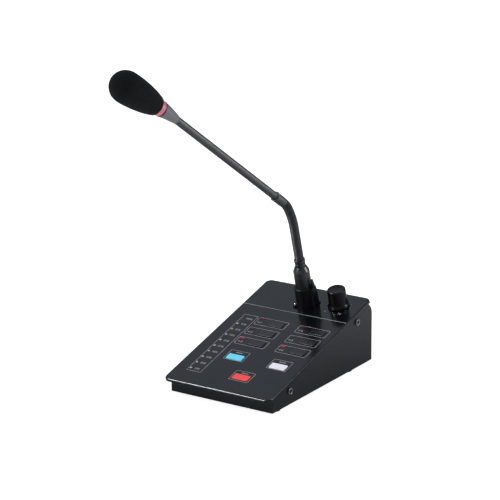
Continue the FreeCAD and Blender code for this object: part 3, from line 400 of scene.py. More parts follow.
class Recipe(Graph):
    """A material under construction: its principled shader and the nodes that feed it."""

    noise_middle: Pair = (0.3, 0.7)

    def __init__(self, name: str) -> None:
        """Starts a material with a bare principled shader.

        Args:
            name: the material's name.
        """
        self.material = bpy.data.materials.new(name)
        self.material.use_nodes = True
        super().__init__(self.material.node_tree)
        self.shader = self.tree.nodes["Principled BSDF"]
        self.place = self.add("ShaderNodeTexCoord").outputs["Object"]

    def noise(self, scale: float, detail: float = 3.0) -> Socket:
        """Noise on object coordinates; the scale is in features per metre."""
        return self.out("ShaderNodeTexNoise", Vector=self.place, Scale=scale, Detail=detail)

    def spread(self, value: Socket, low: float, high: float) -> Socket:
        """Maps the middle of a noise to a range."""
        least, most = self.noise_middle
        return self.out("ShaderNodeMapRange", Value=value, From_Min=least, From_Max=most, To_Min=low,
                        To_Max=high)

    def outward(self, near: float, far: float) -> Socket:
        """Share that grows from nought to one between two distances from the origin, in metres."""
        length = self.out("ShaderNodeVectorMath", {"operation": "LENGTH"}, Vector=self.place)
        return self.out("ShaderNodeMapRange", Value=length, From_Min=near, From_Max=far)

    def blend(self, share: Socket, one: Triple, other: Triple) -> Socket:
        """Mixes two colours by a share."""
        return self.out("ShaderNodeMix", {"data_type": "RGBA"}, Factor=share, A=(*one, 1.0), B=(*other, 1.0))

    def bump(self, height: Socket, depth: float, **under: Socket) -> Socket:
        """Bump from a height, its depth in metres, over another bump that is given as Normal."""
        return self.out("ShaderNodeBump", Height=height, Distance=depth, Strength=1.0, **under)

    def set(self, **inputs: object) -> None:
        """Sets or links inputs of the shader."""
        self.fill(self.shader, **inputs)


class Sheen(float, Enum):
    """How rough the common kinds of surface are."""

    GLOSS = 0.24
    SMOOTH = 0.28
    SATIN = 0.34
    PLATED = 0.36
    SOFT = 0.45
    MATT = 0.75


def scaled(colour: Triple, share: float) -> Triple:
    """A colour made brighter or darker."""
    return tuple(share * part for part in colour)


@dataclass(frozen=True)
class Finish:
    """A moulded, coated or turned surface: two close tones, uneven gloss and a fine grain.

    Grain, mottle and wear are in features per metre, and depth is the grain's, in metres.
    """

    name: str
    colour: Triple
    sheen: float
    tone: float = 0.25
    spread: float = 0.05
    grain: float = 1800.0
    depth: float = 0.00001
    metal: float = 0.0
    specular: float = 0.5
    mottle: float = 90.0
    wear: float = 260.0

    def make(self) -> bpy.types.Material:
        """Builds the material.

        Returns:
            The material, with its colour, gloss and grain from object coordinates.
        """
        recipe = Recipe(self.name)
        darker, lighter = (scaled(self.colour, 1.0 + side * self.tone) for side in (-1.0, 1.0))
        smoothest, roughest = self.sheen - self.spread, self.sheen + self.spread
        recipe.set(
            Base_Color=recipe.blend(recipe.noise(self.mottle, 4.0), darker, lighter),
            Roughness=recipe.spread(recipe.noise(self.wear), smoothest, roughest),
            Metallic=self.metal,
            Specular_IOR_Level=self.specular,
            Normal=recipe.bump(recipe.noise(self.grain), self.depth),
        )
        self.finish(recipe)
        return recipe.material

    def finish(self, recipe: Recipe) -> None:
        """Adds what one kind of surface has beyond the others."""


@dataclass(frozen=True)
class PowderCoat(Finish):
    """Powder coating, whose melted grains leave a fine pebbled skin with a slow swell under it."""

    swell: float = 420.0
    swell_depth: float = 1.6

    def finish(self, recipe: Recipe) -> None:
        """Lays the fine pebbles over the slow swell."""
        slow = recipe.bump(recipe.noise(self.swell, 2.0), self.depth * self.swell_depth)
        recipe.set(Normal=recipe.bump(recipe.noise(self.grain, 2.0), self.depth, Normal=slow))


@dataclass(frozen=True)
class OpenFoam(Finish):
    """Open-cell foam: small pores painted darker, as painted shade in the cells, between soft pale walls, and
    a faint fuzz.
    """

    pores: float = 1500.0
    pore_painted_shade: float = 0.55
    fuzz: Triple = (0.45, 0.52, 0.55)
    fuzz_weight: float = 0.05
    fuzz_roughness: float = 0.5

    def finish(self, recipe: Recipe) -> None:
        """Adds pores in height, painted shade in the pores' colour, and the fuzz.

        Args:
            recipe: the material so far.
        """
        cells = recipe.out("ShaderNodeTexVoronoi", Vector=recipe.place, Scale=self.pores)
        walls = recipe.spread(cells, 0.0, 1.0)
        recipe.set(
            # Painted shade: the pores' colour is darker than the walls between them.
            Base_Color=recipe.blend(walls, scaled(self.colour, self.pore_painted_shade), self.colour),
            Normal=recipe.bump(cells, self.depth),
            Sheen_Weight=self.fuzz_weight,
            Sheen_Roughness=self.fuzz_roughness,
            Sheen_Tint=(*self.fuzz, 1.0),
        )


@dataclass(frozen=True)
class GlowingPlastic(Finish):
    """Plastic that gives off an uneven glow: the light ring's lamp, and painted light on the coloured keys,
    which have no lamp.
    """

    glow: float = 0.3
    patches: float = 140.0
    patch_shade: float = 0.92

    def finish(self, recipe: Recipe) -> None:
        """Makes the plastic glow unevenly; on the coloured keys this glow is painted light.

        Args:
            recipe: the material so far.
        """
        dim = scaled(self.colour, self.patch_shade)
        recipe.set(Emission_Color=recipe.blend(recipe.noise(self.patches, 1.0), dim, self.colour),
                   Emission_Strength=self.glow)


@dataclass(frozen=True)
class LampRow(Finish):
    """Lamps in a row up the slope, each with its own colour and brightness."""

    start: float = 0.0
    pitch: float = 1.0
    colours: tuple[Triple, ...] = ()
    glow: float = 0.5

    def finish(self, recipe: Recipe) -> None:
        """Picks each lamp's colour by how far up the slope it is.

        Args:
            recipe: the material so far.
        """
        level = math.cos(math.radians(LAYOUT.slope))
        low = MM * (LAYOUT.front[0] + (self.start - self.pitch / 2.0) * level)
        high = low + MM * self.pitch * level * len(self.colours)
        depth = recipe.add("ShaderNodeSeparateXYZ", Vector=recipe.place).outputs["Y"]
        share = recipe.out("ShaderNodeMapRange", Value=depth, From_Min=low, From_Max=high)
        ramp = recipe.add("ShaderNodeValToRGB", Fac=share)
        ramp.color_ramp.interpolation = "CONSTANT"
        stops = ramp.color_ramp.elements
        while len(stops) < len(self.colours):
            stops.new(1.0)
        for number, colour in enumerate(self.colours):
            stops[number].position = number / len(self.colours)
            stops[number].color = (*colour, 1.0)
        tone = ramp.outputs["Color"]
        recipe.set(Base_Color=tone, Emission_Color=tone, Emission_Strength=self.glow)


@dataclass(frozen=True)
class Turned(Finish):
    """Coated metal that was turned: hair-fine rings round the neck's own axis."""

    rings: float = 5200.0
    stretch: Triple = (0.02, 0.02, 1.0)

    def finish(self, recipe: Recipe) -> None:
        """Adds the rings as a stretched noise.

        Args:
            recipe: the material so far.
        """
        axis = LAYOUT.neck().to_quaternion().inverted().to_euler()
        along = recipe.out("ShaderNodeMapping", Vector=recipe.place, Rotation=tuple(axis), Scale=self.stretch)
        streaks = recipe.out("ShaderNodeTexNoise", Vector=along, Scale=self.rings, Detail=2.0)
        recipe.set(Normal=recipe.bump(streaks, self.depth))


class Palette:
    """Every finish of the object, made once.

    A row gives name, colour, sheen, tone, spread, grain, depth and metal, in that order.
    """

    def __init__(self) -> None:
        """Makes all the materials."""
        finishes = (
            PowderCoat("cover_powder_coat", (0.0046, 0.0050, 0.0070), 0.19, 0.2, 0.025, 1500.0, 0.000005,
                       specular=0.55),
            PowderCoat("tray_powder_coat", (0.0052, 0.0062, 0.0092), Sheen.SATIN, 0.25, 0.04, 1500.0),
            Finish("foot_rubber", (0.012, 0.012, 0.013), Sheen.MATT, 0.3, 0.06, 1200.0, 0.00002),
            Finish("bright_rim_metal", (0.34, 0.34, 0.35), Sheen.SATIN, 0.2, 0.06, 2600.0, 0.000006, 0.8),
            Finish("bright_screw", (0.72, 0.72, 0.74), Sheen.GLOSS, 0.15, 0.06, 2600.0, 0.000006, 1.0),
            Finish("zinc_plate", (0.56, 0.57, 0.58), Sheen.PLATED, 0.2, 0.08, 900.0, 0.00001, 1.0),
            Finish("solder_mask", (0.016, 0.11, 0.045), Sheen.SMOOTH, 0.2, 0.05, 700.0),
            Finish("moulded_black", (0.014, 0.014, 0.015), Sheen.SOFT, 0.25, 0.06, 1600.0),
            Finish("smoked_key", (0.014, 0.014, 0.017), Sheen.SMOOTH, 0.25, 0.04, 1400.0, 0.000008,
                   specular=0.6),
            # The coloured keys have no lamp: their glow is painted light that brightens them.
            GlowingPlastic("sky_blue_key", (0.13, 0.62, 0.85), Sheen.SATIN, 0.08, 0.04, glow=0.54),
            GlowingPlastic("white_key", (0.74, 0.75, 0.81), Sheen.SATIN, 0.05, 0.04, glow=0.52),
            GlowingPlastic("red_key", (0.80, 0.060, 0.055), Sheen.SATIN, 0.08, 0.04, glow=0.54),
            Finish("knob_gloss", (0.0042, 0.0042, 0.0050), Sheen.GLOSS, 0.2, 0.03, 1400.0, 0.000004,
                   specular=0.20),
            Finish("black_oxide", (0.028, 0.029, 0.033), Sheen.SATIN, 0.25, 0.05, 2400.0, 0.000006, 0.1),
            Finish("cast_black", (0.0036, 0.0036, 0.0046), Sheen.SATIN, 0.25, 0.05, 1500.0, specular=0.25),
            Turned("plug_lacquer", (0.011, 0.011, 0.012), 0.25, 0.05, 0.02, depth=0.000003, specular=0.75),
            Finish("wound_steel", (0.036, 0.036, 0.040), Sheen.PLATED, 0.25, 0.06, 2400.0, 0.000008, 0.1),
            Turned("tube_coat", (0.030, 0.030, 0.033), 0.42, 0.1, 0.04, depth=0.000004, specular=0.9),
            Turned("head_coat", (0.130, 0.131, 0.142), 0.40, 0.12, 0.05, depth=0.000004),
            GlowingPlastic("ring_light_guide", (0.50, 0.135, 0.180), 0.3, 0.1, 0.04, glow=0.14),
            Finish("drawn_aluminium", (0.62, 0.62, 0.64), Sheen.SMOOTH, 0.12, 0.06, 1800.0, 0.000006, 1.0),
            Finish("plated_contact", (0.72, 0.55, 0.26), 0.22, 0.12, 0.05, 1800.0, 0.000004, 1.0),
            OpenFoam("black_foam", (0.0074, 0.0084, 0.0090), 0.92, 0.2, 0.04, depth=0.00018, specular=0.08),
            Finish("print_ink", (0.46, 0.46, 0.50), 0.55, 0.1, 0.05, 3000.0, 0.000004),
            LampRow("channel_lamp_windows", (0.2, 0.01, 0.03), 0.3, start=LAYOUT.lamp_low, glow=0.25,
                    pitch=LAYOUT.lamp_pitch,
                    colours=((0.42, 0.022, 0.075), (0.055, 0.008, 0.022), (0.085, 0.006, 0.018))),
            LampRow("meter_lenses", (0.50, 0.50, 0.52), 0.25, start=LAYOUT.meter_low, glow=0.10,
                    pitch=LAYOUT.meter_pitch,
                    colours=((0.50, 0.50, 0.52),) * 7 + ((0.42, 0.44, 0.16),) * 2 + ((0.10, 0.012, 0.02),)),
        )
        self.materials = {finish.name: finish.make() for finish in finishes}

    def __getitem__(self, name: str) -> bpy.types.Material:
        """The material of a name."""
        return self.materials[name]


@dataclass
class Assembly:
    """A group of pieces, and how they get the object's finishes."""

    palette: Palette

    def polish(self, finish: str, *nodes: str) -> None:
        """Stands smoothly shaded copies of rigid solids in their places.

        Args:
            finish: their finish.
            nodes: the solids.
        """
        for node in nodes:
            skin = skin_of(node, self.palette[finish])
            shade(skin)
            settle(skin, node)

    def dress(self, finish: str, *nodes: str) -> None:
        """Gives inner solids their finish, and leaves their meshes as they are.

        Args:
            finish: their finish.
            nodes: the solids.
        """
        for node in nodes:
            thing = frame["nodes"][node]
            if not thing.data.materials:
                thing.data.materials.append(self.palette[finish])
            for slot in thing.material_slots:
                slot.material = self.palette[finish]
            log.info("%s dressed in %s", node, finish)

    def stand_in(self, name: str, node: str, solid: Solid, finish: str, sharp: float = 30.0) -> None:
        """Makes a piece that stands for a node."""
        settle(new_piece(name, solid, self.palette[finish], sharp), node)


class Tree(Graph):
    """A geometry node tree under construction, with named inputs for its sizes."""

    def __init__(self, name: str, sizes: Sizes) -> None:
        """Starts a tree that takes a geometry and the named sizes.

        Args:
            name: the tree's name.
            sizes: its inputs, with their usual values.
        """
        super().__init__(bpy.data.node_groups.new(name, "GeometryNodeTree"))
        face = self.tree.interface
        face.new_socket("Geometry", in_out="INPUT", socket_type="NodeSocketGeometry")
        for key, value in sizes.items():
            kind = "NodeSocketInt" if isinstance(value, int) else "NodeSocketFloat"
            face.new_socket(key, in_out="INPUT", socket_type=kind).default_value = value
        face.new_socket("Geometry", in_out="OUTPUT", socket_type="NodeSocketGeometry")
        self.given = self.tree.nodes.new("NodeGroupInput").outputs
        self.result = self.tree.nodes.new("NodeGroupOutput").inputs["Geometry"]

    def maths(self, operation: str, one: object, other: object) -> Socket:
        """Works out a sum on two numbers.

        Args:
            operation: the kind of sum.
            one: the first number, an output or a value.
            other: the second number.

        Returns:
            The result.
        """
        node = self.add("ShaderNodeMath", {"operation": operation})
        for socket, value in zip(node.inputs, (one, other)):
            self.feed(socket, value)
        return node.outputs[0]

    def circle(self, sides: object, radius: object) -> Socket:
        """A ring, as an outline or as a path."""
        return self.out("GeometryNodeCurvePrimitiveCircle", Resolution=sides, Radius=radius)

    def end(self, material: bpy.types.Material, *geometry: Socket) -> None:
        """Joins the geometry, makes it real, and gives it its finish.

        Args:
            material: the finish.
            geometry: what the tree has made.
        """
        join = self.tree.nodes.new("GeometryNodeJoinGeometry")
        for socket in geometry:
            self.tree.links.new(socket, join.inputs[0])
        real = self.out("GeometryNodeRealizeInstances", Geometry=join.outputs[0])
        self.feed(self.result, self.out("GeometryNodeSetMaterial", Geometry=real, Material=material))

    def grow(self, name: str, points: Sequence[Vector], sizes: Sizes, path: bool = False,
             sharp: float = 32.0) -> bpy.types.Object:
        """Runs the tree on points, and keeps the result as a plain mesh.

        Args:
            name: the new piece's name.
            points: the tree's own points, in millimetres.
            sizes: values for the named inputs.
            path: whether the points are joined in a row.
            sharp: edges that turn by more than this stay crisp.

        Returns:
            The new piece, with no modifier.
        """
        seed = bpy.data.meshes.new(f"{name}_path")
        edges = [(step, step + 1) for step in range(len(points) - 1)] if path else []
        seed.from_pydata([tuple(MM * point) for point in points], edges, [])
        carrier = linked(f"{name}_carrier", seed)
        modifier = carrier.modifiers.new("grow", "NODES")
        modifier.node_group = self.tree
        for item in self.tree.interface.items_tree:
            if item.in_out == "INPUT" and item.name in sizes:
                modifier[item.identifier] = sizes[item.name]
        mesh = baked(carrier)
        mesh.name = name
        bpy.data.objects.remove(carrier)
        bpy.data.meshes.remove(seed)
        smooth(mesh, sharp)
        return linked(name, mesh)


def hose_tree(material: bpy.types.Material) -> Tree:
    """Tree that winds ribs round a core along a path.

    Args:
        material: the finish of the hose.

    Returns:
        The tree. Its sizes are metres.
    """
    tree = Tree("ribbed_hose", {
        "Ribs": 7, "Sides": 56, "Core Radius": 0.0045, "Rib Radius": 0.0044, "Rib Swell": 0.0006,
        "Rib Half Width": 0.0011,
    })
    given = tree.given
    path = tree.out("GeometryNodeMeshToCurve", Mesh=given["Geometry"])
    core = tree.out("GeometryNodeCurveToMesh", Curve=path, Fill_Caps=True,
                    Profile_Curve=tree.circle(given["Sides"], given["Core Radius"]))
    half = tree.maths("DIVIDE", 0.5, given["Ribs"])
    trim = tree.out("GeometryNodeTrimCurve", {"mode": "FACTOR"}, Curve=path, Start=half,
                    End=tree.maths("SUBTRACT", 1.0, half))
    places = tree.add("GeometryNodeCurveToPoints", {"mode": "COUNT"}, Curve=trim, Count=given["Ribs"])
    scale = tree.out("ShaderNodeCombineXYZ", X=given["Rib Half Width"], Y=given["Rib Swell"], Z=1.0)
    oval = tree.out("GeometryNodeTransform", Geometry=tree.circle(10, 1.0), Scale=scale)
    rib = tree.out("GeometryNodeCurveToMesh", Curve=tree.circle(given["Sides"], given["Rib Radius"]),
                   Profile_Curve=oval)
    ribs = tree.out("GeometryNodeInstanceOnPoints", Points=places.outputs["Points"], Instance=rib,
                    Rotation=places.outputs["Rotation"])
    tree.end(material, core, ribs)
    return tree


def lens_tree(material: bpy.types.Material) -> Tree:
    """Tree that stands a domed lens on each point of the sloping cover.

    Args:
        material: the finish of the lenses.

    Returns:
        The tree. Its sizes are metres.
    """
    tree = Tree("domed_lenses", {"Radius": 0.0015, "Dome": 0.0008})
    given = tree.given
    ball = tree.out("GeometryNodeMeshUVSphere", Segments=32, Rings=16, Radius=1.0)
    scale = tree.out("ShaderNodeCombineXYZ", X=given["Radius"], Y=given["Radius"], Z=given["Dome"])
    dome = tree.out("GeometryNodeTransform", Geometry=ball, Scale=scale,
                    Rotation=(math.radians(LAYOUT.slope), 0.0, 0.0))
    tree.end(material, tree.out("GeometryNodeInstanceOnPoints", Points=given["Geometry"], Instance=dome))
    return tree


def rim_tree(material: bpy.types.Material) -> Tree:
    """Tree that stands a rounded rim on each point, facing away from the middle of the console.

    Args:
        material: the finish of the rims.

    Returns:
        The tree. Its sizes are metres.
    """
    tree = Tree("bright_screw_rims", {"Radius": 0.0033, "Half Width": 0.00042})
    given = tree.given
    rim = tree.out("GeometryNodeCurveToMesh", Curve=tree.circle(40, given["Radius"]),
                   Profile_Curve=tree.circle(10, given["Half Width"]))
    apart = tree.add("ShaderNodeSeparateXYZ", Vector=tree.out("GeometryNodeInputPosition"))
    facing = tree.out("ShaderNodeCombineXYZ", X=apart.outputs["X"], Y=0.0, Z=0.0)
    aligned = tree.out("FunctionNodeAlignRotationToVector", {"axis": "Z"}, Vector=facing)
    rims = tree.out("GeometryNodeInstanceOnPoints", Points=given["Geometry"], Instance=rim, Rotation=aligned)
    tree.end(material, rims)
    return tree


@dataclass(frozen=True)
class SoftBox:
    """One soft light, its place and size in metres and its power in watts."""

    name: str
    place: Triple
    size: Pair
    power: float
    colour: Triple = (1.0, 1.0, 1.0)
    gloss_only: bool = False

    def hang(self, aim: Triple) -> None:
        """Adds the light to the scene.

        Args:
            aim: the point that it faces, in metres.
        """
        data = bpy.data.lights.new(self.name, "AREA")
        data.shape = "RECTANGLE"
        data.size, data.size_y = self.size
        data.energy = self.power
        data.color = self.colour
        light = linked(self.name, data)
        light.location = self.place
        light.rotation_euler = (Vector(self.place) - Vector(aim)).to_track_quat("Z", "Y").to_euler()
        light.visible_diffuse = not self.gloss_only


@dataclass
class Studio:
    """Camera, floor and soft lights, in metres and degrees.

    A ground's tones are how pale it is close by and further out, darker close by as painted shade, and how
    much light it gives off.
    """

    camera_place: Triple = (1.27596, -1.94604, 0.84587)
    azimuth: float = 33.828
    elevation: float = 16.568
    roll: float = -0.4523
    lens: float = 153.9
    shift: Pair = (-0.0041, 0.0001)
    aim: Triple = (0.0, 0.0, 0.08)
    floor_half: float = 14.0
    painted_shade_span: Pair = (0.10, 0.36)
    floor_tones: Triple = (0.90, 0.92, 1.0)
    sheen_painted_shade_tones: Triple = (0.28, 0.80, 0.15)
    sheen_level: float = 0.0002
    room: tuple[tuple[float, Triple], ...] = ((0.30, (0.12, 0.125, 0.14)), (0.55, (0.24, 0.25, 0.27)))
    sky_place: Triple = (-1.45, 1.55, 1.95)
    sky_sizes: tuple[float, ...] = (1.0, 1.6, 2.2, 2.8, 3.4)
    sky_gap: float = 0.01
    sky_glow: float = 0.053
    sky_colour: Triple = (0.72, 0.85, 1.0)
    boxes: tuple[SoftBox, ...] = (
        SoftBox("right_strip", (1.75, 0.55, 0.75), (0.28, 1.3), 6.0),
        SoftBox("left_strip", (-1.1, -1.5, 0.85), (0.25, 1.2), 2.5),
        SoftBox("bend_box", (-1.2, -0.95, 1.6), (0.45, 0.6), 50.0, gloss_only=True),
        SoftBox("right_glint", (1.85, 1.0, 0.62), (0.40, 0.9), 12.0, gloss_only=True),
        SoftBox("left_glint", (-1.0, -1.7, 0.16), (0.5, 0.25), 3.0, gloss_only=True),
        SoftBox("overhead_box", (0.9, 0.4, 2.1), (1.0, 1.0), 12.0),
    )

    def set_camera(self) -> None:
        """Makes the camera at the photograph's viewing angle."""
        across, rise = math.radians(self.azimuth), math.radians(self.elevation)
        back = Vector((math.sin(across) * math.cos(rise), -math.cos(across) * math.cos(rise), math.sin(rise)))
        right = Vector((math.cos(across), math.sin(across), 0.0))
        up = back.cross(right)
        tip = math.radians(self.roll)
        level = math.cos(tip) * right + math.sin(tip) * up
        over = -math.sin(tip) * right + math.cos(tip) * up
        place = Matrix((level, over, back)).transposed().to_4x4()
        place.translation = self.camera_place
        data = bpy.data.cameras.new("camera")
        data.lens = self.lens
        data.shift_x, data.shift_y = self.shift
        camera = linked("camera", data)
        camera.matrix_world = place
        bpy.context.scene.camera = camera

    def add_ground(self, name: str, level: float, tones: Triple) -> bpy.types.Object:
        """Adds one level sheet of ground, which isn't part of the object.

        Args:
            name: the sheet's name.
            level: its height, in metres.
            tones: how pale it is close by and further out, darker close by as painted shade, and its glow,
                which softens shadows.

        Returns:
            The sheet.
        """
        half = self.floor_half
        near, far, glow = tones
        mesh = bpy.data.meshes.new(name)
        corners = [(-half, -half, level), (half, -half, level), (half, half, level), (-half, half, level)]
        mesh.from_pydata(corners, [], [(0, 1, 2, 3)])
        recipe = Recipe(f"{name}_paint")
        # Painted shade: the ground is darker close to the object and paler further out.
        tone = recipe.blend(recipe.outward(*self.painted_shade_span), (near,) * 3, (far,) * 3)
        recipe.set(Base_Color=tone, Roughness=0.95, Specular_IOR_Level=0.0, Emission_Color=tone,
                   Emission_Strength=glow)
        mesh.materials.append(recipe.material)
        sheet = linked(name, mesh)
        sheet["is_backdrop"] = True
        return sheet

    def set_floor(self) -> None:
        """Makes the pale floor, and over it a sheet that only gloss picks up, painted darker near the object
        as painted shade.
        """
        self.add_ground("floor", 0.0, self.floor_tones)
        sheen = self.add_ground("floor_sheen", self.sheen_level, self.sheen_painted_shade_tones)
        for ray in ("camera", "diffuse", "transmission", "shadow"):
            setattr(sheen, f"visible_{ray}", False)

    def set_world(self) -> None:
        """Makes the dim grey room, darker below the table."""
        world = bpy.data.worlds.new("room")
        world.use_nodes = True
        graph = Graph(world.node_tree)
        way = graph.add("ShaderNodeTexCoord").outputs["Generated"]
        height = graph.add("ShaderNodeSeparateXYZ", Vector=way).outputs["Z"]
        lift = graph.out("ShaderNodeMapRange", Value=height, From_Min=-1.0)
        ramp = graph.add("ShaderNodeValToRGB", Fac=lift)
        for stop, (position, grey) in zip(ramp.color_ramp.elements, self.room):
            stop.position, stop.color = position, (*grey, 1.0)
        graph.feed(graph.tree.nodes["Background"].inputs["Color"], ramp.outputs["Color"])
        bpy.context.scene.world = world

    def sky_boxes(self) -> Iterator[SoftBox]:
        """Lights one over the other that make one window, brightest in its middle.

        Returns:
            Each light, a little apart from the one before.
        """
        for number, size in enumerate(self.sky_sizes):
            place = scaled(self.sky_place, 1.0 + self.sky_gap * number)
            power = self.sky_glow * math.pi * size * size
            yield SoftBox(f"sky_box_{number + 1}", place, (size, size), power, self.sky_colour)

    def build(self) -> None:
        """Sets up the whole studio."""
        bpy.context.scene.view_settings.view_transform = "Standard"
        self.set_camera()
        self.set_floor()
        self.set_world()
        for box in (*self.sky_boxes(), *self.boxes):
            box.hang(self.aim)
        log.info("studio set")


@dataclass
class Console(Assembly):
    """Cover, base box, rear panel, feet, side screws and the boards inside."""

    cover_middle: float = 101.3
    cover_half: Pair = (72.0, 113.0)
    pressed_corner: float = 4.5
    full_corner: float = 7.5
    slack: float = 0.001
    screw_ups: Pair = (31.8, 181.7)
    screw_drop: float = 13.9
    screw_face: float = 70.35

    def round_corners(self, cover: bpy.types.Object) -> None:
        """Gives the cover's corners their full radius, its sheet as thick as before.

        Args:
            cover: the copy of the cover.
        """
        panel = LAYOUT.panel()
        back = panel.inverted()
        for vertex in cover.data.vertices:
            place = back @ (vertex.co / MM)
            up = place.y - self.cover_middle
            across = abs(place.x) - (self.cover_half[0] - self.pressed_corner)
            along = abs(up) - (self.cover_half[1] - self.pressed_corner)
            if min(across, along) < -self.slack or max(across, along) < self.slack:
                continue
            wider = 1.0 + (self.full_corner - self.pressed_corner) / math.hypot(across, along)
            x = self.cover_half[0] - self.full_corner + across * wider
            y = self.cover_half[1] - self.full_corner + along * wider
            spot = Vector((math.copysign(x, place.x), self.cover_middle + math.copysign(y, up), place.z))
            vertex.co = MM * (panel @ spot)

    def make_screw_rims(self) -> None:
        """Makes the bright metal rims of the four side screws."""
        places = [LAYOUT.panel() @ Vector((side * self.screw_face, up, -self.screw_drop))
                  for side in (-1.0, 1.0) for up in self.screw_ups]
        attach(rim_tree(self.palette["bright_rim_metal"]).grow("side_screw_rims", places, {}), "side_screws")

    def build(self) -> None:
        """Dresses the casing and everything in it."""
        cover = skin_of("top_plate", self.palette["cover_powder_coat"])
        self.round_corners(cover)
        shade(cover)
        settle(cover, "top_plate")
        self.polish("tray_powder_coat", "base_tray", "rear_panel")
        self.polish("foot_rubber", "rubber_feet")
        self.polish("black_oxide", "side_screws")
        self.make_screw_rims()
        self.dress("zinc_plate", "cover_brackets", "board_standoffs", "board_screws", "rear_standoffs")
        self.dress("solder_mask", "main_board", "rear_board")
        self.dress("moulded_black", "key_switches", "link_socket", "power_inlet")


@dataclass
class KeyField(Assembly):
    """The nine keys and the two groups of lamps; of the channel lamps the lowest pair is lit."""

    channels: int = 6
    meter_x: float = -52.5

    def build(self) -> None:
        """Dresses the keys and makes the lenses."""
        self.polish("smoked_key", *(f"channel_key_{number + 1}" for number in range(self.channels)))
        self.polish("sky_blue_key", "blue_key")
        self.polish("white_key", "white_key")
        self.polish("red_key", "red_key")
        self.polish("channel_lamp_windows", "channel_lamps")
        places = [LAYOUT.panel() @ Vector((self.meter_x, LAYOUT.meter_low + step * LAYOUT.meter_pitch, 0.0))
                  for step in range(LAYOUT.meter_count)]
        settle(lens_tree(self.palette["meter_lenses"]).grow("meter_lenses", places, {}), "meter_lamps")


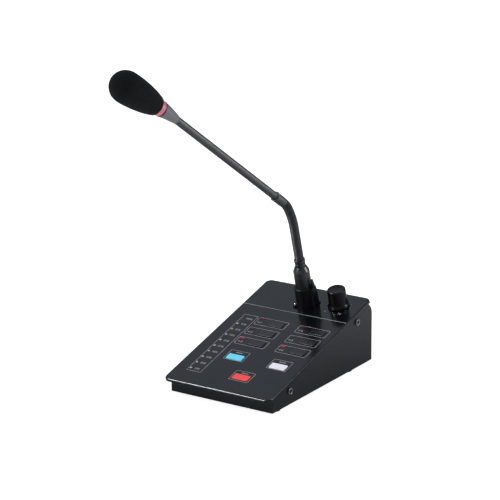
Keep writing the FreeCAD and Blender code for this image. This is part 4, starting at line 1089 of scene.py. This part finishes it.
@dataclass
class PanelPrint(Assembly):
    """Light grey screen print on the cover: rules, frames, numbers and the knob's scale.

    Low and high are the print's faces above the cover. A corner is its frame's left and lower one. A
    channel's bar runs between two distances from its frame's left, and a key's bar reaches as far to each
    side of its frame's middle.
    """

    low: float = -0.02
    high: float = 0.05
    mitre: float = 0.4
    divider_up: float = 156.9
    divider_width: float = 0.85
    divider_end: float = 1.2
    line: float = 0.62
    channel_lefts: Pair = (-33.5, 22.2)
    channel_rows: int = 3
    channel_low: float = 78.0
    channel_pitch: float = 21.35
    channel_size: Pair = (40.6, 14.8)
    channel_round: float = 1.6
    channel_bar: Pair = (2.4, 5.8)
    key_size: Pair = (25.2, 18.6)
    key_corners: tuple[Pair, ...] = ((-27.35, 46.5), (31.1, 46.0), (2.1, 12.2))
    key_round: float = 1.0
    key_bar: float = 4.4
    key_bar_drop: float = 3.4
    bar_width: float = 1.3
    meter_corner: Pair = (-55.1, 12.35)
    meter_size: Pair = (18.7, 123.5)
    meter_round: float = 0.8
    percent_x: float = -44.2
    percent_height: float = 3.3
    number_height: float = 3.5
    number_up: float = 5.2
    number_in: float = 7.6
    font_share: float = 1.35
    boldness: float = 0.025
    scale_radius: float = 14.8
    scale_dots: int = 11
    scale_start: float = -240.0
    scale_step: float = 30.0
    scale_end: Pair = (9.6, -15.6)
    dot_radius: float = 0.45

    def ribbon(self, points: Sequence[Pair], width: float, closed: bool = True) -> Solid:
        """Printed line of a width along a run of points, with mitred corners.

        Args:
            points: the line's middle, on the cover.
            width: how wide the line is.
            closed: whether it ends where it starts.

        Returns:
            A thin solid just proud of the cover.
        """
        spots = [complex(*point) for point in points]
        count = len(spots)
        ways = [(end - start) / abs(end - start) for start, end in zip(spots, spots[1:] + spots[:1])]
        panel = LAYOUT.panel()
        corners: list[Vector] = []
        for number, spot in enumerate(spots):
            first = ways[number - 1] if closed or number > 0 else ways[0]
            last = ways[number] if closed or number < count - 1 else first
            across = 1j * (first + last) / abs(first + last)
            square = (across * (1j * first).conjugate()).real
            reach = across * width / 2.0 / max(self.mitre, square)
            corners += [panel @ Vector((side.real, side.imag, z))
                        for z in (self.low, self.high) for side in (spot - reach, spot + reach)]
        faces = []
        for number in range(count if closed else count - 1):
            a, b = 4 * number, 4 * ((number + 1) % count)
            faces += [(a + 2, b + 2, b + 3, a + 3), (a, a + 1, b + 1, b), (a, b, b + 2, a + 2),
                      (a + 1, a + 3, b + 3, b + 1)]
        if not closed:
            last = 4 * (count - 1)
            faces += [(0, 2, 3, 1), (last, last + 1, last + 3, last + 2)]
        return corners, faces

    def framed(self, corner: Pair, size: Pair, radius: float) -> Solid:
        """Printed box with round corners.

        Args:
            corner: its left and lower corner.
            size: its width and depth.
            radius: the corners' radius.

        Returns:
            A thin solid just proud of the cover.
        """
        outline: list[Pair] = []
        for number, (right, top) in enumerate(((0, 0), (1, 0), (1, 1), (0, 1))):
            centre = (corner[0] + radius + right * (size[0] - 2.0 * radius),
                      corner[1] + radius + top * (size[1] - 2.0 * radius))
            start = 90.0 * number - 180.0
            outline += arc(centre, (radius, radius), start, start + 90.0, 4)
        return self.ribbon(outline, self.line)

    def bar(self, left: float, right: float, up: float) -> Solid:
        """Short plain bar."""
        return self.ribbon([(left, up), (right, up)], self.bar_width, closed=False)

    def lines(self) -> Iterator[Solid]:
        """Every rule, frame and bar of the print.

        Returns:
            Each as a thin solid.
        """
        half, up = LAYOUT.width / 2.0 - self.divider_end, self.divider_up
        yield self.ribbon([(-half, up), (half, up)], self.divider_width, closed=False)
        for left in self.channel_lefts:
            for row in range(self.channel_rows):
                low = self.channel_low + row * self.channel_pitch
                yield self.framed((left, low), self.channel_size, self.channel_round)
                yield self.bar(left + self.channel_bar[0], left + self.channel_bar[1], low + self.number_up)
        for corner in self.key_corners:
            yield self.framed(corner, self.key_size, self.key_round)
            middle = corner[0] + self.key_size[0] / 2.0
            yield self.bar(middle - self.key_bar, middle + self.key_bar,
                           corner[1] + self.key_size[1] - self.key_bar_drop)
        yield self.framed(self.meter_corner, self.meter_size, self.meter_round)

    def scale_marks(self) -> Iterator[Solid]:
        """Dots of the knob's scale.

        Returns:
            Each as a thin solid.
        """
        for step in range(self.scale_dots):
            angle = math.radians(self.scale_start + self.scale_step * step)
            centre = (LAYOUT.knob[0] + self.scale_radius * math.cos(angle),
                      LAYOUT.knob[1] + self.scale_radius * math.sin(angle))
            dot = arc(centre, (self.dot_radius, self.dot_radius), 0.0, 330.0, 11)
            yield prism(dot, self.low, self.high, LAYOUT.panel())

    def figures(self, text: str, x: float, up: float, height: float) -> bpy.types.Mesh:
        """Printed number, its middle at a place on the cover.

        Args:
            text: the characters.
            x: middle to the right.
            up: middle up the slope.
            height: height of the figures.

        Returns:
            A mesh with its place in it.
        """
        data = bpy.data.curves.new(f"number_{text}", "FONT")
        data.body = text
        data.align_x, data.align_y = "CENTER", "CENTER"
        data.size = height * self.font_share
        data.offset = self.boldness * height
        data.extrude = (self.high - self.low) / 2.0
        data.resolution_u = 3
        writer = linked(data.name, data)
        mesh = baked(writer)
        bpy.data.objects.remove(writer)
        bpy.data.curves.remove(data)
        mesh.transform(Matrix.Scale(MM, 4) @ LAYOUT.panel() @ at(x, up, (self.low + self.high) / 2.0))
        return mesh

    def numbers(self) -> Iterator[bpy.types.Mesh]:
        """The meter's numbers, the channels' and the two at the ends of the knob's scale.

        Returns:
            A mesh of each.
        """
        for step in range(LAYOUT.meter_count):
            up = LAYOUT.meter_low + LAYOUT.meter_pitch * step
            yield self.figures(f"{10 * (step + 1)}%", self.percent_x, up, self.percent_height)
        rows = self.channel_rows
        for number in range(2 * rows):
            left = self.channel_lefts[number // rows]
            up = self.channel_low + (rows - 1 - number % rows) * self.channel_pitch + self.number_up
            yield self.figures(str(number + 1), left + self.number_in, up, self.number_height)
        for text, side in (("0", -1.0), ("10", 1.0)):
            yield self.figures(text, LAYOUT.knob[0] + side * self.scale_end[0],
                               LAYOUT.knob[1] + self.scale_end[1], self.percent_height)

    def build(self) -> None:
        """Makes the print in one piece."""
        solid = merged([*self.lines(), *self.scale_marks()])
        printed = new_piece("panel_print", solid, self.palette["print_ink"], 30.0)
        joined = bmesh.new()
        joined.from_mesh(printed.data)
        for mesh in self.numbers():
            joined.from_mesh(mesh)
            bpy.data.meshes.remove(mesh)
        joined.to_mesh(printed.data)
        joined.free()
        attach(printed, "meter_lamps")


@dataclass
class VolumeKnob(Assembly):
    """Gloss knob with a flared skirt, on the potentiometer."""

    rise: float = 0.6
    skirt_radius: float = 12.9
    skirt_height: float = 6.6
    foot_round: float = 0.5
    skirt_round: float = 1.0
    skirt_lift: float = 1.6
    sweep: Pair = (0.1, 4.2)
    sweep_ends: Pair = (0.4, 0.9)
    neck_radius: float = 11.1
    top_radius: float = 10.8
    height: float = 23.2
    bevel: float = 1.4
    dish: Pair = (0.8, 0.25)
    dish_depth: float = 0.35
    hollow: Pair = (8.4, 5.2)
    bore: float = 3.05
    bore_top: float = 17.1

    def profile(self) -> list[Pair]:
        """Half section of the knob.

        Returns:
            Radius and height pairs, from the hollow underneath round to its middle.
        """
        skirt, foot, edge = self.skirt_round, self.foot_round, self.bevel
        skirt_top = self.rise + self.skirt_height
        hollow, ceiling = self.hollow[0], self.rise + self.hollow[1]
        flare = self.skirt_radius - self.neck_radius
        (inset, depth), (low, high) = self.sweep, self.sweep_ends
        return [
            (0.0, self.bore_top), (self.bore, self.bore_top), (self.bore, ceiling), (hollow, ceiling),
            (hollow, self.rise),
            *arc((self.skirt_radius - foot, self.rise + foot), (foot, foot), -90.0, 0.0, 4),
            *arc((self.skirt_radius - skirt, self.rise + self.skirt_lift), (skirt, skirt), 0.0, 60.0, 5),
            *arc((self.skirt_radius, skirt_top + low), (flare - inset, depth), 240.0, 180.0, 8),
            (self.neck_radius, skirt_top + high),
            (self.top_radius, self.height - edge),
            *arc((self.top_radius - edge, self.height - edge), (edge, edge), 15.0, 90.0, 6),
            (self.top_radius - edge - self.dish[0], self.height - self.dish[1]),
            (0.0, self.height - self.dish_depth),
        ]

    def build(self) -> None:
        """Makes the knob and dresses what it turns on."""
        place = LAYOUT.panel() @ at(*LAYOUT.knob, 0.0)
        self.stand_in("knob_body", "volume_knob", lathe(self.profile(), place, 96), "knob_gloss", 38.0)
        self.dress("zinc_plate", "potentiometer", "control_washer", "control_nut", "control_shaft")


@dataclass
class PlugSocket(Assembly):
    """Socket with its latch, and the plug of the microphone in it.

    The tab's side gives how far out and how high each of its corners is.
    """

    plug_radius: float = 9.7
    plug_bottom: float = 8.0
    waist_radius: float = 9.5
    waist_low: float = 27.5
    waist_step: Pair = (0.1, 0.4)
    shoulder: Pair = (47.3, 53.0)
    top_radius: float = 6.9
    top_step: Pair = (0.15, 0.4)
    throat: float = 5.0
    throat_drop: float = 10.8
    wall: float = 1.3
    edge: float = 0.3
    top_round: float = 0.5
    bush_radius: float = 6.1
    bush_edge: float = 0.2
    groove_radius: float = 5.5
    ring_radius: float = 6.5
    groove: Pair = (57.3, 58.4)
    bore: float = 3.45
    ear: Pair = (10.6, 7.9)
    screw_top: float = 3.1
    crown: Pair = (1.1, 0.7)
    tab_width: float = 3.4
    tab_side: tuple[Pair, ...] = (
        (10.3, 18.3), (11.7, 18.3), (11.7, 27.7), (14.6, 27.7), (14.9, 28.1), (13.0, 36.2), (12.6, 36.7),
        (11.9, 36.7), (11.6, 36.3), (11.3, 29.2), (10.3, 28.8),
    )

    def make_tab(self) -> None:
        """Makes the release tab, whose thumb piece runs on in the line of the latch housing."""
        half = self.tab_width / 2.0
        solid = prism(self.tab_side, -half, half, LAYOUT.seat() @ turn("X", 90.0))
        self.stand_in("release_tab", "latch_tab", solid, "cast_black", 25.0)

    def make_screw_crowns(self) -> None:
        """Makes the bright crowns of the two flange screws."""
        places = [LAYOUT.seat() @ Vector((side * self.ear[0], side * self.ear[1], self.screw_top))
                  for side in (-1.0, 1.0)]
        sizes = {"Radius": MM * self.crown[0], "Dome": MM * self.crown[1]}
        crowns = lens_tree(self.palette["bright_screw"]).grow("flange_screw_crowns", places, sizes)
        attach(crowns, "socket_screws")

    def plug_profile(self) -> list[Pair]:
        """Half section of the plug's shell.

        Returns:
            Radius and height pairs, up its inside and round from its foot to its top.
        """
        inside = self.plug_radius - self.wall
        low, high = self.shoulder
        rounding = self.top_round
        return [
            (self.throat, low), (inside, low - self.throat_drop), (inside, self.plug_bottom),
            (self.plug_radius - self.edge, self.plug_bottom),
            (self.plug_radius, self.plug_bottom + self.edge),
            (self.plug_radius, self.waist_low),
            (self.waist_radius, low - self.waist_step[1]),
            (self.waist_radius - self.waist_step[0], low),
            (self.top_radius + self.top_step[0], high - rounding),
            *arc((self.top_radius - self.top_step[1], high - rounding), (rounding, rounding), 15.0, 90.0, 4),
            (self.throat, high),
        ]

    def bush_profile(self) -> list[Pair]:
        """Half section of the bush that holds the neck in the plug.

        Returns:
            Radius and height pairs, from its foot inside round to its top inside.
        """
        low, high = self.groove
        foot, top, edge, rounding = self.shoulder[1], NECK.base, self.bush_edge, self.top_round
        return [
            (self.bore, foot), (self.bush_radius, foot), (self.bush_radius, low - edge),
            (self.bush_radius - edge, low), (self.groove_radius, low), (self.groove_radius, high),
            (self.ring_radius - edge, high), (self.ring_radius, high + edge),
            (self.ring_radius, top - rounding),
            *arc((self.ring_radius - rounding, top - rounding), (rounding, rounding), 0.0, 90.0, 4),
            (self.bore, top),
        ]

    def build(self) -> None:
        """Makes the plug and dresses the socket."""
        self.polish("cast_black", "socket_shell")
        self.make_tab()
        self.polish("black_oxide", "socket_screws")
        self.make_screw_crowns()
        for name, node, profile in (("plug_body", "plug_shell", self.plug_profile()),
                                    ("plug_neck_bush", "plug_bush", self.bush_profile())):
            self.stand_in(name, node, lathe(profile, LAYOUT.neck(), 96, closed=True), "plug_lacquer")
        self.dress("moulded_black", "socket_insert", "plug_insert")
        self.dress("plated_contact", "plug_pins")


@dataclass
class Gooseneck(Assembly):
    """Wound steel neck: one length of ribs over each of its six joints."""

    hinges: int = 6
    ribs: int = 7
    steps: int = 28
    bend_share: float = 0.40

    def build(self) -> None:
        """Makes the six lengths along the neck's centre line, and hides the coils that they stand for."""
        tree = hose_tree(self.palette["wound_steel"])
        links = ["console"] + [f"neck_link_{number}" for number in range(1, self.hinges)] + ["boom"]
        pitch = NECK.flexible() / self.hinges
        reach = pitch * self.bend_share
        for number in range(self.hinges):
            path = [NECK.along(pitch * (number + step / self.steps)).translation
                    for step in range(self.steps + 1)]
            piece = tree.grow(f"neck_winding_{number + 1}", path, {"Ribs": self.ribs}, path=True, sharp=60.0)
            start, end = (tuple(MM * NECK.along(pitch * (number + 0.5) + side * reach).translation)
                          for side in (-1.0, 1.0))
            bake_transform(piece)
            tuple(start)
            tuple(end)
            nodes = [f"gooseneck_coil_{number + 1}"]
            if number == self.hinges - 1:
                nodes.append(f"gooseneck_coil_{number + 2}")
            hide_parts(*nodes)
            log.info("%s bends from %s to %s", piece.name, links[number], links[number + 1])


@dataclass
class MicrophoneHead(Assembly):
    """Collar, upper tube, tapered housing, light ring and foam windscreen.

    Ease is the air round the tube in its seats, and a rim's pair is its radius and its height.
    """

    collar_length: float = 16.7
    collar_foot: float = 5.4
    collar_radius: float = 5.75
    collar_taper: float = 3.5
    collar_edge: Pair = (0.2, 0.25)
    wire_bore: float = 2.3
    neck_bore: Pair = (5.05, 2.5)
    mouth_bore: Pair = (5.1, 1.6)
    rim_radius: float = 6.15
    rim_length: float = 1.3
    rim_slope: float = 0.4
    edge: float = 0.3
    ease: float = 0.05
    tube_seat: float = 6.5
    tube_radius: float = 4.6
    tube_wall: float = 0.8
    tube_visible: float = 176.4
    tube_hidden: float = 18.0
    cone_seat: float = 6.1
    cone_length: float = 25.2
    cone_kink: float = 16.0
    cone_soft: float = 7.0
    cone_steps: int = 24
    droop: float = 4.9
    cone_radii: Pair = (5.1, 9.1)
    ring_bore: float = 6.0
    ring_radius: float = 9.3
    ring_length: float = 6.9
    ring_rounds: Pair = (0.6, 0.5)
    ring_foot: Pair = (0.9, 0.7)
    shade_band_radii: Pair = (8.2, 9.2)
    shade_band_heights: Pair = (-0.8, 0.6)
    foam_start: float = 9.9
    foam_rim: Pair = (12.1, 3.6)
    foam_radius: float = 18.2
    foam_widest: float = 47.0
    foam_tip: float = 66.3
    foam_fullness: float = 0.8
    foam_steps: int = 44
    foam_bore: float = 7.8
    foam_bore_edge: float = 1.0
    foam_rim_arc: Pair = (-78.0, -12.0)
    cage_length: float = 44.2
    pore_depth: float = 0.10
    pore_scales: Pair = (1.4, 3.1)
    fine_share: float = 0.5
    skin_depth: float = 12.0

    def cone_start(self) -> float:
        """Distance of the housing's foot along the centre line."""
        return NECK.flexible() + self.collar_length + self.tube_visible

    def droops(self, distance: float) -> Matrix:
        """Frame beyond the housing's foot, on an axis that droops softly about its bend.

        Args:
            distance: millimetres beyond the foot.

        Returns:
            The frame, its z along the axis.
        """
        begins, length = self.cone_kink - self.cone_soft, 2.0 * self.cone_soft
        radius = length / math.radians(self.droop)
        bend = max(0.0, min(distance - begins, length)) / radius
        place = NECK.along(self.cone_start()) @ at(0.0, 0.0, min(distance, begins)) @ bow(bend, radius)
        return place @ at(0.0, 0.0, max(0.0, distance - begins - length))

    def mouth(self) -> Matrix:
        """Frame at the housing's wide end, where the light ring sits."""
        kink = NECK.along(self.cone_start()) @ at(0.0, 0.0, self.cone_kink) @ turn("Y", self.droop)
        return kink @ at(0.0, 0.0, self.cone_length - self.cone_kink)

    def make_collar(self) -> None:
        """Makes the collar that clamps the upper tube to the neck."""
        top, edge, seat = self.collar_length, self.edge, self.tube_radius + self.ease
        (bore, step), (mouth, depth) = self.neck_bore, self.mouth_bore
        profile = [
            (self.wire_bore, self.tube_seat), (self.wire_bore, step), (bore, step), (bore, 0.0),
            (self.collar_foot - self.collar_edge[0], 0.0), (self.collar_foot, self.collar_edge[1]),
            (self.collar_radius, self.collar_taper),
            (self.collar_radius, top - self.rim_length - self.rim_slope),
            (self.rim_radius, top - self.rim_length),
            *arc((self.rim_radius - edge, top - edge), (edge, edge), 0.0, 90.0, 3),
            (mouth, top), (mouth, top - depth), (seat, top - depth), (seat, self.tube_seat),
        ]
        collar = lathe(profile, NECK.along(NECK.flexible()), 80, closed=True)
        self.stand_in("clamp_collar", "neck_collar", collar, "tube_coat")

    def make_tube(self) -> None:
        """Makes the straight upper tube."""
        outer, inner = self.tube_radius, self.tube_radius - self.tube_wall
        length = self.tube_visible + self.tube_hidden
        outline = [(inner, length), (inner, 0.0), (outer, 0.0), (outer, length)]
        tube = lathe(outline, NECK.along(NECK.flexible() + self.tube_seat), 80, closed=True)
        self.stand_in("boom_tube", "upper_tube", tube, "tube_coat")

    def make_cone(self) -> None:
        """Makes the tapered housing, its axis bent a little."""
        (small, large), edge, seat = self.cone_radii, self.edge, self.tube_radius + self.ease
        deep = self.cone_seat
        inside = [(deep, 0.0), (deep, seat), (0.0, seat), (0.0, small - edge), (edge, small)]
        stations: list[Station] = [(self.droops(distance), radius) for distance, radius in inside]
        for step in range(1, self.cone_steps + 1):
            share = step / self.cone_steps
            distance = edge + (self.cone_length - 2.0 * edge) * share
            stations.append((self.droops(distance), small + (large - small) * share))
        stations += [(self.mouth(), large - edge), (self.mouth(), 0.0)]
        self.stand_in("head_housing", "head_cone", spun(stations, 80), "head_coat", 32.0)

    def make_ring(self) -> None:
        """Makes the lit ring, and under it a black band that is painted shade in the seam between ring and
        housing.
        """
        outer, length = self.ring_radius, self.ring_length
        (foot, top), (inset, step) = self.ring_rounds, self.ring_foot
        profile = [
            (self.ring_bore, length), (self.ring_bore, 0.0), (outer - inset, 0.0), (outer - inset, step),
            *arc((outer - foot, step + foot), (foot, foot), -90.0, 0.0, 4),
            (outer, length - top), *arc((outer - top, length - top), (top, top), 0.0, 90.0, 4),
        ]
        ring = lathe(profile, self.mouth(), 96, closed=True)
        self.stand_in("light_ring_guide", "light_ring", ring, "ring_light_guide", 32.0)
        # Painted shade: a black band stands where the seam between ring and housing is in shadow.
        (inner, rim), (low, high) = self.shade_band_radii, self.shade_band_heights
        shade_band = lathe([(inner, high), (inner, low), (rim, low), (rim, high)], self.mouth(), 96, closed=True)
        attach(new_piece("ring_seat_shade_band", shade_band, self.palette["moulded_black"]), "capsule_cage")

    def foam_profile(self) -> list[Pair]:
        """Half section of the foam's outside.

        Returns:
            Radius and height pairs, from the ring to the tip.
        """
        rim, height = self.foam_rim
        outline = [(self.foam_start, 0.0)]
        outline += arc((self.foam_start, height), (rim - self.foam_start, height), *self.foam_rim_arc, 6)
        for step in range(self.foam_steps):
            share = (step + 0.5) / self.foam_steps
            swell = math.sin(math.radians(90.0 * share)) ** self.foam_fullness
            outline.append((rim + (self.foam_radius - rim) * swell,
                            height + (self.foam_widest - height) * share))
        nose = (self.foam_radius, self.foam_tip - self.foam_widest)
        outline += arc((0.0, self.foam_widest), nose, 0.0, 90.0, 40)[:-1]
        return outline + [(0.0, self.foam_tip)]

    def make_windscreen(self) -> None:
        """Makes the foam ball over the cage, its skin broken by fine pores."""
        place = self.mouth() @ at(0.0, 0.0, self.ring_length)
        bore, deep, edge = self.foam_bore, self.cage_length, self.foam_bore_edge
        cavity = [(0.0, deep), (bore - edge, deep), (bore, deep - edge), (bore, 0.0)]
        points, faces = lathe(cavity + self.foam_profile(), place, 200)
        centre = place @ Vector((0.0, 0.0, self.foam_widest))
        broad, fine = self.pore_scales
        for number, point in enumerate(points):
            if (point - centre).length > self.skin_depth:
                height = noise.noise(point * broad) + self.fine_share * noise.noise(point * fine)
                points[number] = point + (point - centre).normalized() * height * self.pore_depth
        foam = new_piece("foam_windscreen", (points, faces), self.palette["black_foam"], 70.0)
        settle(foam, "windscreen")

    def build(self) -> None:
        """Makes the head from the collar to the foam."""
        self.make_collar()
        self.make_tube()
        self.make_cone()
        self.make_ring()
        self.make_windscreen()
        self.dress("moulded_black", "capsule_cage")
        self.dress("foot_rubber", "capsule_holder")
        self.dress("drawn_aluminium", "mic_capsule")


def main() -> None:
    """Builds the studio, then the object from the console up."""
    logging.basicConfig(level=logging.INFO, format="%(message)s")
    Studio().build()
    palette = Palette()
    for assembly in (Console, KeyField, PanelPrint, VolumeKnob, PlugSocket, Gooseneck, MicrophoneHead):
        assembly(palette).build()
    boxes = {"cad": CAD_BOX, "visual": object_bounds()}
    {name: [list(corner) for corner in box] for name, box in boxes.items()}


if __name__ == "__main__":
    main()
